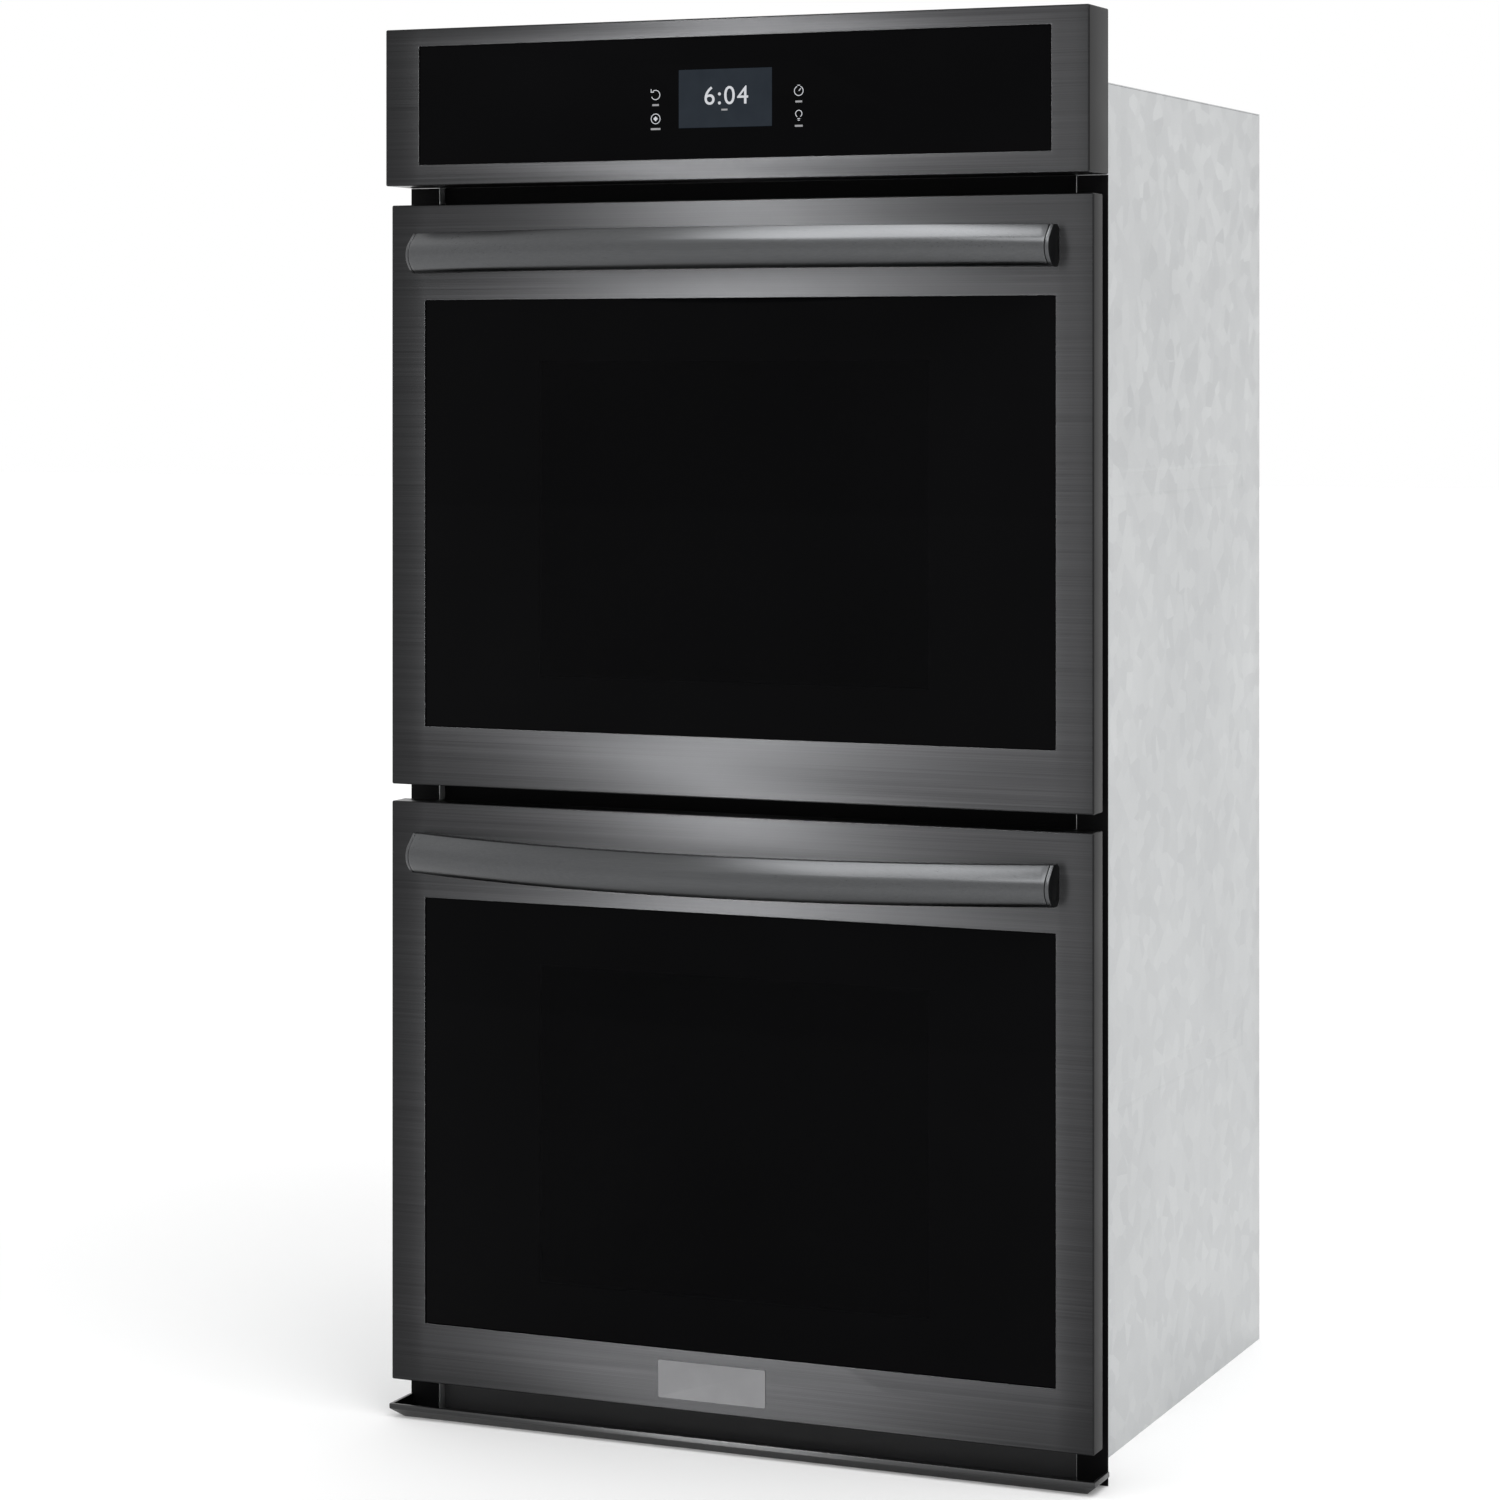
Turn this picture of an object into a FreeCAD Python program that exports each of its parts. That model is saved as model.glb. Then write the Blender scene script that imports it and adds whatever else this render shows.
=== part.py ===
"""Built-in double electric wall oven: two cavities with drop-down doors under one control panel.

Millimetres. +X is to the right of someone facing the doors, +Y runs back into the cabinet, +Z is up.
The origin is on the underside of the base, midway across, where the cabinet's face plane crosses it.
"""
import FreeCAD, Part
import math
import os

Vector = FreeCAD.Vector
X_AXIS, Y_AXIS, Z_AXIS = Vector(1, 0, 0), Vector(0, 1, 0), Vector(0, 0, 1)

# Overall sizes
overall_width = 686.0
door_height = 538.2
panel_height = 145.0
body_depth = 574.0          # cabinet face plane to the back sheet
panel_overlap = 58.0        # how far the control panel rises above the chassis
flange_width = 28.5         # chassis side to the edge of the doors
toe_gap = 35.7              # base to the lower door's bottom edge
door_gap = 15.6             # between the two doors
panel_gap = 17.3            # between the upper door and the control panel

# Depths of the front, measured out from the cabinet face plane
door_stand = 40.0           # doors' front face ahead of the plane
panel_lead = 12.0           # control panel ahead of the doors
face_set = 10.0             # oven face frames behind the plane
gasket_gap = 4.0            # door's inner face to the oven face

# Sheet and plate thicknesses
sheet = 1.0                 # chassis
flange_sheet = 1.2
skin_sheet = 1.2            # door and panel faces
liner = 1.0                 # enamelled cavity
door_liner = 1.0
glass = 4.0
panel_glass = 3.2
tab_reach = 14.0            # control panel's rear tabs, in over the chassis sides
touch = 0.2                 # gap left between neighbouring sheets
glue = 0.4                  # gap round a pane in its seat

# Cavity
side_space = 47.0           # chassis side sheet to cavity interior, cooling air and insulation
insulation = 30.0
cavity_floor = 45.0         # door bottom to cavity floor
cavity_roof = 61.2          # door top to cavity roof
rear_space = 58.0           # insulation to the back sheet, for the fan motors
face_overlap = 31.0         # face frame beyond the cavity mouth, above and below
rack_pitch = 49.0
rack_levels = 7
rack_first = 48.0           # cavity floor to the first ledge
rack_used = (1, 3)          # ledges that hold a rack, counted from 0
ledge_reach = 8.0
ledge_thick = 5.0
ledge_setback = 26.0

# Rack
rack_depth = 400.0
rack_rod = 3.0              # radius of the frame rods
rack_cross = 2.6            # radius of the cross rods
rack_wire = 1.7             # radius of the grid wires
rack_wire_count = 15
rack_side_gap = 4.0
rack_lift = 0.3
rack_gap = 3.6              # rack's rear rod to the fan cover

# Door
skin_depth = 24.0
border_side = 34.8
border_top = 88.4
border_bottom = 54.8
window_side = 153.0         # door edge to the clear window
window_top = 145.0
window_bottom = 104.0
pane_margin = 12.0          # glass held behind its frame
liner_side_inset = 43.0     # door edge to the inner liner
liner_bottom_inset = 4.0
liner_top_inset = 8.0
window_frame_sheet = 1.5
pane_count = 3              # panes inside the window tunnel
pane_pitch = 11.0
pane_thick = 3.0

# Door hinge
pivot_in = 18.0             # door face to the hinge axis
pivot_up = 14.0             # door bottom to the hinge axis
pin_radius = 4.0
pin_clearance = 0.08
ear_thick = 4.0
ear_radius = 9.0
arm_thick = 2.2
arm_height = 190.0
arm_gap = 0.6               # between the door's arm and the chassis ear
notch_clearance = 1.5

# Handle
handle_inset = 31.0         # door edge to the handle's end
handle_height = 37.0
handle_depth = 28.0
handle_bow = 62.0
handle_stand = 1.0          # door face to the back of the bar at its ends
screw_reach = 6.0           # handle screw's thread in front of the door skin
handle_drop = 45.5          # door top to the middle of the bar
handle_wall = 2.6
bow_overrun = 1.5           # degrees swept past the handle's ends before it is trimmed
cap_thick = 3.0
post_radius = 8.0
post_inset = 24.0           # bar end to its post
screw_radius = 2.5
screw_head = 4.6
screw_rise = 3.0

# Control panel
panel_border_side = 34.8
panel_border_top = 16.4
panel_border_bottom = 19.0
display_width = 93.0
display_height = 52.4
display_drop = 45.8         # panel top to the display's top edge
display_depth = 9.0
shoulder_lap = 4.0          # display housing beyond its opening in the glass
board_width = 300.0
board_height = 84.0
board_thick = 1.6
board_stand = 12.0

# Bottom trim
trim_height = 13.2
trim_lead = 2.2             # trim ahead of the doors
trim_lean = 10.5            # how far the trim's lower edge is drawn in
trim_wall = 3.0
trim_floor = 3.0
trim_overhang = 1.5         # trim past the doors at each end

# Fan, element and lamp
fan_radius = 68.0
fan_depth = 20.0
fan_shaft = 4.0
shaft_clearance = 0.06
fan_blades = 8
element_radius = 3.5
ring_radius = 92.0
cover_half = 124.0
cover_depth = 36.0
motor_radius = 36.0
motor_length = 40.0
lens_radius = 27.0
probe_radius = 2.6
probe_length = 90.0

# Cooling blower
wheel_radius = 58.0
wheel_height = 38.0
wheel_blades = 20
scroll_radius = 74.0
scroll_height = 48.0
blower_motor_radius = 30.0
blower_motor_height = 22.0

# Cabinet screws and supply entry
screw_hole_radius = 2.6
screw_inset = 13.0          # door edge to the cabinet screws
screw_rows = (450.0, 160.0)  # distance of each pair of rows from the middle of the flange
knockout_radius = 11.1
box_wall = 1.5

# Chassis details
base_nose = 6.0             # base plate ahead of the cabinet face plane
flange_leg = 25.0
rib_height = 26.0
rib_end = 60.0              # ends of the side ribs, in from the edges
rear_slot_half = 70.0
rear_slot_height = 5.0
rear_slot_pitch = 14.0
rear_slot_first = 40.0      # cavity floor to the first rear slot
rear_slots = 4
top_slot_half = 110.0
top_slot_depth = 6.0
top_slot_pitch = 16.0
top_slot_first = 120.0
top_slots = 5
deck_gap = 2.0              # duct deck above the face frame's joint line
grille_slot = 34.0
grille_land = 12.0          # metal left between two slots
grille_rise = 8.0           # foot of the grille to its slots
grille_height = 10.0
trim_nose = 4.6             # upright band under the trim's top edge

# Chassis screws: heads outside, shanks in drilled holes
chassis_screw_head = 4.0
chassis_screw_rise = 2.2
chassis_screw_shank = 2.0
chassis_screw_reach = 8.0
chassis_screw_room = 0.15   # hole radius beyond the shank's
back_edge = 22.0            # rows of screws in from the edges
back_screw_count = 6
top_screw_count = 4

# Door latch
hook_x = 12.0
hook_set = 12.0             # latch pivot behind the oven face
hook_drop = 18.0            # door top to the underside of the hook
hook_thick = 2.5
hook_pin = 3.0
hook_bite = 13.0            # how far the hook reaches past the door's inner face
hook_half = 4.0
tooth_reach = 6.0
tooth_depth = 5.0
hook_boss = 7.0
slot_left = 13.0            # latch slot on each side of the pivot
slot_right = 7.0
slot_rise = 3.0             # slot above and below the hook
latch_plate_half = 34.0
latch_plate_depth = 59.0
latch_plate_thick = 3.8
latch_foot_half = 30.0
latch_foot_depth = 52.0
latch_motor_radius = 16.0
latch_motor_height = 20.0
latch_motor_x = -12.0
latch_motor_set = 42.0

# Elements, lamp and probe
terminal_spread = 180.0     # element ends, out from the middle
terminal_reach = 10.0       # element ends past the insulation
broil_drop = 30.0
bake_space = 16.0
bake_drop = 9.0
element_front = 58.0
element_back = 392.0
element_runs = 6
bend_share = 0.8            # bend radius as a share of the element's pitch
ring_end = 18.0             # half the gap between the ring element's two ends
elbow_swell = 0.4           # ball at the ring's ends beyond the tube's radius
lamp_x = -175.0
lamp_drop = 74.0
lens_rim = 5.0
lens_dome = 11.0
lens_round = 6.0
lens_thick = 3.0
bulb_radius = 7.0
socket_rear = 14.0          # lamp socket behind the middle of the insulation
probe_x = 165.0
probe_drop = 42.0
probe_plate_half = 14.0
probe_plate_rise = 7.0
probe_plate_thick = 1.5
wire_hole = 6.0             # openings in the insulation round elements and probe
shaft_hole = 14.0
pocket_margin = 20.0        # pocket under the floor round the bake element

# Fan wheel, its cover and its motor
fan_hub = 9.0
fan_disc_share = 0.62
fan_disc_set = 8.0          # disc ahead of the rear wall
fan_plate = 1.5
fan_front_gap = 7.0
blade_root = 14.0
blade_thick = 1.6
blade_middle = 40.0
blade_turn = 24.0
cover_chamfer = 16.0
inlet_hole = 4.5
inlet_rings = ((14.0, 6), (30.0, 12), (46.0, 18))
cover_slot_x = 82.0
cover_slot_half = 12.0
cover_slot_rise = 3.0
cover_slot_pitch = 24.0
cover_slot_rows = 7
motor_ear = 14.0

# Gasket
gasket_spread = 16.0        # cavity edge to the gasket's outer edge
gasket_width = 9.0
gasket_lap = 0.5

# Hinge
arm_half = 8.0
arm_rear_gap = 6.0
pin_tail = 2.0
pin_head = 1.6
foot_thick = 2.0
foot_margin = 5.0

# Boards, junction box and blower
board_leg = 3.0
board_leg_inset = 8.0
socket_half = 40.0
socket_depth = 9.0
socket_low = 30.0           # below the middle of the board
socket_high = 18.0
power_left = -270.0
power_right = -110.0
power_front = 90.0
power_rear = 300.0
power_lift = 8.0
power_first = 24.0
power_pitch = 36.0
power_rows = 5
relay_set = 16.0
relay_width = 24.0
relay_depth = 20.0
relay_height = 24.4
coil_radius = 7.0
wire_entry = 7.0            # hole for the supply wires in the junction box's front wall
coil_set = 40.0
coil_height = 28.0
junction_left = 150.0
junction_right = 250.0
junction_depth = 62.0
junction_top_gap = 8.0
entry_margin = 4.0          # rear opening inside the junction box's outline
blower_y = 380.0
scroll_foot = 14.0
scroll_foot_half = 20.0
inlet_share = 0.7
blower_bar_half = 11.0
blower_bar_thick = 2.0
wheel_plate = 1.5
wheel_lift = 3.0
wheel_hub = 11.0
wheel_hub_height = 12.0
wheel_rim_share = 0.75
wheel_blade_share = 0.78
wheel_blade_thick = 1.2
wheel_blade_turn = 35.0
wheel_shaft_rise = 10.0     # shaft above the scroll housing

# Name plate
plate_x = -17.6
plate_width = 105.0
plate_height = 34.0
plate_thick = 1.0

# Worked out from the sizes above
lower_bottom = toe_gap
lower_top = lower_bottom + door_height
upper_bottom = lower_top + door_gap
upper_top = upper_bottom + door_height
panel_bottom = upper_top + panel_gap
overall_height = panel_bottom + panel_height
chassis_height = overall_height - panel_overlap
half_width = overall_width / 2
chassis_half = half_width - flange_width
inner_half = chassis_half - sheet
face_half = inner_half - touch
cavity_half = inner_half - side_space
door_front = -door_stand
skin_rear = door_front + skin_depth
door_rear = face_set - gasket_gap
panel_front = door_front - panel_lead
cavity_back = body_depth - sheet - rear_space - insulation - liner
insulation_half = cavity_half + liner + insulation
pivot_y = door_front + pivot_in
liner_half = half_width - liner_side_inset
clear_half = half_width - window_side
motor_front = cavity_back + liner + insulation + touch
upper_deck = panel_bottom
lower_deck = upper_bottom + cavity_floor - face_overlap - sheet - deck_gap
ring_foot = math.sqrt(ring_radius ** 2 - ring_end ** 2)     # ring's centre down to its ends
terminal_y = cavity_back + liner + insulation + terminal_reach
rack_front = cavity_back - cover_depth - 2 * touch - rack_gap - rack_depth
hook_y = face_set + hook_set
hook_tip_y = door_rear - hook_bite
junction_top = chassis_height - junction_top_gap
knockout_z = (panel_bottom + junction_top) / 2
small = 0.01
past = 1.0                  # how far a cutting block runs past the face it opens


def box(x0, x1, y0, y1, z0, z1):
    """A block between two corners."""
    return Part.makeBox(x1 - x0, y1 - y0, z1 - z0, Vector(x0, y0, z0))


def wide(half, y0, y1, z0, z1):
    """A block that is centred across the oven."""
    return box(-half, half, y0, y1, z0, z1)


def rod(radius, start, axis, length):
    return Part.makeCylinder(radius, length, start, axis)


def mirrored(shape):
    """The same piece on the other side of the oven."""
    return shape.mirror(Vector(0, 0, 0), X_AXIS)


def fused(shapes):
    whole = shapes[0].multiFuse(shapes[1:]) if len(shapes) > 1 else shapes[0]
    return whole.removeSplitter()


def group(shapes):
    """Separate solids that share one node."""
    return Part.makeCompound([solid for shape in shapes for solid in shape.Solids])


def save(name, shape):
    shape.exportStep("parts/" + name + ".step")
    print(f"{name}: {len(shape.Solids)} solid(s), {shape.Volume / 1000:.1f} cm3, valid {shape.isValid()}")


def tube_path(points, corner):
    """A wire of straight runs along the points, joined by tangent arcs of radius corner."""
    edges = []
    start = points[0]
    for before, here, after in zip(points, points[1:], points[2:]):
        back = (before - here).normalize()
        ahead = (after - here).normalize()
        half_angle = back.getAngle(ahead) / 2
        cut = corner / math.tan(half_angle)
        enter = here + back * cut
        leave = here + ahead * cut
        centre = here + (back + ahead).normalize() * (corner / math.sin(half_angle))
        middle = centre + (here - centre).normalize() * corner
        edges.append(Part.LineSegment(start, enter).toShape())
        edges.append(Part.Arc(enter, middle, leave).toShape())
        start = leave
    edges.append(Part.LineSegment(start, points[-1]).toShape())
    return Part.Wire(edges)


def tube(points, corner, radius):
    path = tube_path(points, corner)
    section = Part.Wire(Part.Circle(points[0], points[1] - points[0], radius).toShape())
    return path.makePipeShell([section], True, True)


def screw_points(count, start, end):
    """Evenly spaced points from start to end."""
    return [start + (end - start) * (k / (count - 1)) for k in range(count)]


def screw_rows_along(count, start, end):
    """Matching rows of screw points on both sides of the oven."""
    rows = []
    for side in (-1, 1):
        here = Vector(side * start.x, start.y, start.z)
        there = Vector(side * end.x, end.y, end.z)
        rows += screw_points(count, here, there)
    return rows


screw_line = chassis_half - back_edge
back_screws = screw_rows_along(back_screw_count, Vector(screw_line, body_depth, back_edge),
                               Vector(screw_line, body_depth, chassis_height - back_edge))
top_screws = screw_rows_along(top_screw_count, Vector(screw_line, 2 * back_edge, chassis_height),
                              Vector(screw_line, body_depth - 2 * back_edge, chassis_height))


def drill(shape, points, axis):
    """Holes for the screws' shanks through a sheet whose outer face holds the points."""
    for point in points:
        start = point - axis * (2 * sheet)
        shape = shape.cut(rod(chassis_screw_shank + chassis_screw_room, start, axis, 4 * sheet))
    return shape


def chassis_screw(point, axis):
    head = rod(chassis_screw_head, point, axis, chassis_screw_rise)
    shank = rod(chassis_screw_shank, point - axis * chassis_screw_reach, axis, chassis_screw_reach)
    drive = rod(chassis_screw_shank / 2, point + axis * (chassis_screw_rise / 2), axis, chassis_screw_rise)
    return head.fuse(shank).cut(drive)


# ---- chassis ----
def make_base_pan():
    plate = wide(face_half, -base_nose, body_depth - sheet - touch, 0, sheet)
    lip_top = lower_bottom + cavity_floor - face_overlap
    lip = wide(face_half, face_set, face_set + sheet, 0, lip_top)
    rails = [wide(face_half, y, y + sheet, 0, lip_top / 2) for y in (body_depth / 3, body_depth * 2 / 3)]
    return fused([plate, lip] + rails)


def make_chassis_side(side):
    panel = box(inner_half, chassis_half, 0, body_depth, 0, chassis_height - sheet - touch)
    for z in (lower_bottom + door_height / 2, upper_bottom + door_height / 2):
        groove = box(chassis_half - sheet / 2, chassis_half, rib_end, body_depth - rib_end, z, z + rib_height)
        panel = panel.cut(groove)
    return panel if side > 0 else mirrored(panel)


def make_chassis_back():
    """The main rear sheet, and above it a cover on each side of the supply entry."""
    front = body_depth - sheet
    edge = inner_half - touch
    top = chassis_height - sheet - touch
    main = wide(edge, front, body_depth, touch, upper_deck)
    for floor in (lower_bottom + cavity_floor, upper_bottom + cavity_floor):
        for row in range(rear_slots):
            z = floor + rear_slot_first + row * rear_slot_pitch
            main = main.cut(wide(rear_slot_half, front - past, body_depth + past, z, z + rear_slot_height))
    left = box(-edge, junction_left + entry_margin, front, body_depth, upper_deck, top)
    right = box(junction_right - entry_margin, edge, front, body_depth, upper_deck, top)
    return group([drill(piece, back_screws, Y_AXIS) for piece in (main, left, right)])


def make_chassis_top():
    panel = wide(chassis_half, 0, body_depth, chassis_height - sheet, chassis_height)
    for k in range(top_slots):
        y = top_slot_first + k * top_slot_pitch
        panel = panel.cut(wide(top_slot_half, y, y + top_slot_depth, chassis_height - 2 * sheet,
                               chassis_height + sheet))
    return drill(panel, top_screws, Z_AXIS)


def make_duct_decks():
    """The sheet under the electronics and the sheet between the two ovens."""
    rear = body_depth - sheet - touch
    top = wide(face_half, face_set + 2 * sheet, rear, upper_deck, upper_deck + sheet)
    top = top.cut(rod(wheel_radius / 2, Vector(0, blower_y, upper_deck - sheet), Z_AXIS, 3 * sheet))
    middle = wide(face_half, face_set + 2 * sheet, rear, lower_deck, lower_deck + sheet)
    return group([top, middle])


def make_side_flange(side):
    """The strip that covers the edge of the cabinet's cut-out, screwed on behind the doors."""
    low, high = touch, panel_bottom - touch
    face = box(chassis_half, half_width, -flange_sheet, 0, low, high)
    leg = box(chassis_half, chassis_half + flange_sheet, -flange_sheet, flange_leg, low, high)
    flange = face.fuse(leg).removeSplitter()
    middle = (lower_bottom + upper_top) / 2
    for row in screw_rows:
        for z in (middle - row, middle + row):
            start = Vector(half_width - screw_inset, -2 * flange_sheet, z)
            flange = flange.cut(rod(screw_hole_radius, start, Y_AXIS, 4 * flange_sheet))
    return flange if side > 0 else mirrored(flange)


def leaning_tray(half, front, rear, low, high, lean):
    """A tray-shaped block whose front and ends lean outwards as they rise."""
    def outline(inset, z):
        corners = [Vector(-half + inset, rear, z), Vector(-half + inset, front + inset, z),
                   Vector(half - inset, front + inset, z), Vector(half - inset, rear, z)]
        return Part.makePolygon(corners + corners[:1])
    return Part.makeLoft([outline(lean, low), outline(0, high)], True, True)


def make_bottom_trim():
    half = half_width + trim_overhang
    front = door_front - trim_lead
    rear = -flange_sheet - touch
    outer = leaning_tray(half, front, rear, 0, trim_height - trim_nose, trim_lean)
    band = wide(half, front, rear, trim_height - trim_nose, trim_height)
    hollow = leaning_tray(half - trim_wall, front + trim_wall, past, trim_floor, trim_height + small,
                          trim_lean * (1 - trim_floor / trim_height))
    chassis_room = wide(chassis_half + touch, -base_nose - touch, past, -past, trim_height + past)
    return outer.fuse(band).removeSplitter().cut(hollow).cut(chassis_room)


def make_vent_grilles():
    """The louvred strips that let cooling air out above each door."""
    grilles = []
    for low, high in ((lower_top - (cavity_roof - face_overlap), upper_bottom + cavity_floor - face_overlap),
                      (upper_top - (cavity_roof - face_overlap), panel_bottom)):
        strip = wide(face_half, face_set, face_set + sheet, low, high)
        pitch = grille_slot + grille_land
        slots = int(2 * face_half / pitch) - 1
        for k in range(slots):
            x = (k - (slots - 1) / 2) * pitch
            z = low + grille_rise
            strip = strip.cut(box(x - grille_slot / 2, x + grille_slot / 2, face_set - past,
                                  face_set + sheet + past, z, z + grille_height))
        hook_z = low + (cavity_roof - face_overlap) - hook_drop
        left, right = hook_x - slot_left - hook_boss, hook_x + slot_right + hook_half
        strip = strip.cut(box(left, right, face_set - past, face_set + sheet + past, hook_z - slot_rise,
                              hook_z + hook_thick + slot_rise))
        grilles.append(strip)
    return group(grilles)


# ---- door latch ----
def make_latch_motors():
    """The latch's base plate on the oven's roof, with the motor and the pin its hook turns on."""
    units = []
    front = face_set + sheet + 2 * touch
    for top in (lower_top, upper_top):
        z = top - hook_drop
        roof = top - (cavity_roof - face_overlap) + past
        base = wide(latch_plate_half, front, front + latch_plate_depth, z - latch_plate_thick - touch,
                    z - touch)
        motor = rod(latch_motor_radius, Vector(latch_motor_x, face_set + latch_motor_set, z - touch), Z_AXIS,
                    latch_motor_height)
        foot = wide(latch_foot_half, front, front + latch_foot_depth, roof, z - latch_plate_thick - touch)
        pin = rod(hook_pin, Vector(hook_x, hook_y, z - past), Z_AXIS, hook_thick + 3 * past)
        units.append(fused([base, motor, foot, pin]))
    return group(units)


def make_latch_hook(top):
    z = top - hook_drop
    arm = box(hook_x - hook_half, hook_x + hook_half, hook_tip_y, hook_y, z, z + hook_thick)
    tooth = box(hook_x - hook_half - tooth_reach, hook_x - hook_half, hook_tip_y, hook_tip_y + tooth_depth,
                z, z + hook_thick)
    boss = rod(hook_boss, Vector(hook_x, hook_y, z), Z_AXIS, hook_thick)
    hole = rod(hook_pin + shaft_clearance, Vector(hook_x, hook_y, z - past), Z_AXIS, hook_thick + 2 * past)
    return fused([arm, tooth, boss]).cut(hole)


# ---- cavity ----
def element_corners(z, ends_y):
    """Corner points of a flat element that snakes from front to back."""
    pitch = 2 * terminal_spread / (element_runs - 1)
    points = [Vector(-terminal_spread, ends_y, z)]
    for k in range(element_runs):
        x = -terminal_spread + k * pitch
        near, far = Vector(x, element_front, z), Vector(x, element_back, z)
        points += [near, far] if k % 2 else [far, near]
        if k == 0:
            points.remove(far)
        if k == element_runs - 1:
            points.remove(far)
    return points + [Vector(terminal_spread, ends_y, z)]


def make_cavity(bottom):
    low, high = bottom + cavity_floor, bottom + door_height - cavity_roof
    middle = (low + high) / 2
    outer = wide(cavity_half + liner, face_set, cavity_back + liner, low - liner, high + liner)
    face = wide(face_half, face_set, face_set + liner, low - face_overlap + small,
                high + face_overlap - small)
    hollow = wide(cavity_half, face_set - past, cavity_back, low, high)
    shell = outer.fuse(face).removeSplitter().cut(hollow)
    ledges = []
    for level in range(rack_levels):
        z = low + rack_first + level * rack_pitch
        ledge = box(cavity_half - ledge_reach, cavity_half + liner / 2, face_set + ledge_setback,
                    cavity_back - cover_depth - 2 * past, z - ledge_thick, z)
        ledges += [ledge, mirrored(ledge)]
    shell = shell.multiFuse(ledges).removeSplitter()
    through = cavity_back - past
    depth = liner + 2 * past
    holes = [rod(2 * fan_shaft, Vector(0, through, middle), Y_AXIS, depth),
             rod(lens_radius - lens_rim, Vector(lamp_x, through, high - lamp_drop), Y_AXIS, depth),
             rod(probe_radius + touch, Vector(probe_x, through, high - probe_drop), Y_AXIS, depth)]
    for x in (-terminal_spread, terminal_spread):
        holes.append(rod(element_radius + touch, Vector(x, through, high - broil_drop), Y_AXIS, depth))
    for x in (-ring_end, ring_end):
        holes.append(rod(element_radius + touch, Vector(x, through, middle - ring_foot), Y_AXIS, depth))
    for hole in holes:
        shell = shell.cut(hole)
    return shell


def make_insulation(bottom):
    low, high = bottom + cavity_floor, bottom + door_height - cavity_roof
    middle = (low + high) / 2
    back = cavity_back + liner
    outer = wide(insulation_half, face_set + liner + touch, back + insulation,
                 low - liner - insulation + touch + deck_gap, high + liner + insulation - touch)
    inner = wide(cavity_half + liner, face_set, back, low - liner, high + liner)
    recess = wide(terminal_spread + pocket_margin, element_front - pocket_margin, back + insulation + past,
                  low - liner - bake_space, low)
    blanket = outer.cut(inner).cut(recess)
    holes = [(shaft_hole, 0, middle), (lens_radius - touch, lamp_x, high - lamp_drop),
             (wire_hole, probe_x, high - probe_drop)]
    for side in (-1, 1):
        holes.append((wire_hole, side * terminal_spread, high - broil_drop))
        holes.append((wire_hole, side * ring_end, middle - ring_foot))
    for radius, x, z in holes:
        blanket = blanket.cut(rod(radius, Vector(x, back - past, z), Y_AXIS, insulation + 2 * past))
    return blanket


def make_ring_element(middle):
    """The round element about the fan, with both ends turned back through the wall."""
    y = cavity_back - cover_depth / 2
    angle = math.degrees(math.asin(ring_end / ring_radius))
    start = Vector(ring_end, 0, -ring_foot)
    along = Vector(ring_foot, 0, ring_end)
    section = Part.Wire(Part.Circle(start, along, element_radius).toShape())
    pieces = [Part.Face(section).revolve(Vector(0, 0, 0), Y_AXIS, -(360 - 2 * angle))]
    for x in (-ring_end, ring_end):
        foot = Vector(x, 0, start.z)
        pieces.append(Part.makeSphere(element_radius + elbow_swell, foot))
        pieces.append(rod(element_radius, foot, Y_AXIS, terminal_y - y))
    ring = fused(pieces)   # made about its own centre, so it joins the same way at every height
    ring.translate(Vector(0, y, middle))
    return ring


def make_flat_element(z):
    """The snaking element over the cavity or under its floor."""
    bend = terminal_spread / (element_runs - 1) * bend_share
    return tube(element_corners(z, terminal_y), bend, element_radius)


def make_fan_cover(middle):
    """The pressed cover over the fan, with a round inlet grille and slots round its rim."""
    front = cavity_back - cover_depth
    outer = box(-cover_half, cover_half, front, cavity_back, middle - cover_half, middle + cover_half)
    outer = outer.makeChamfer(cover_chamfer, [edge for edge in outer.Edges
                                              if abs(edge.CenterOfMass.y - front) < small])
    inner = box(-cover_half + sheet, cover_half - sheet, front + sheet, cavity_back + past,
                middle - cover_half + sheet, middle + cover_half - sheet)
    inner = inner.makeChamfer(cover_chamfer, [edge for edge in inner.Edges
                                              if abs(edge.CenterOfMass.y - front - sheet) < small])
    cover = outer.cut(inner)
    holes = []
    for ring, count in inlet_rings:
        for k in range(count):
            angle = 2 * math.pi * k / count
            centre = Vector(ring * math.cos(angle), front - past, middle + ring * math.sin(angle))
            holes.append(rod(inlet_hole, centre, Y_AXIS, sheet + 2 * past))
    for side in (-1, 1):
        for k in range(cover_slot_rows):
            x = side * cover_slot_x
            z = middle + (k - (cover_slot_rows - 1) / 2) * cover_slot_pitch
            holes.append(box(x - cover_slot_half, x + cover_slot_half, front - past, front + sheet + past,
                             z - cover_slot_rise, z + cover_slot_rise))
    return cover.cut(Part.makeCompound(holes))


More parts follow.
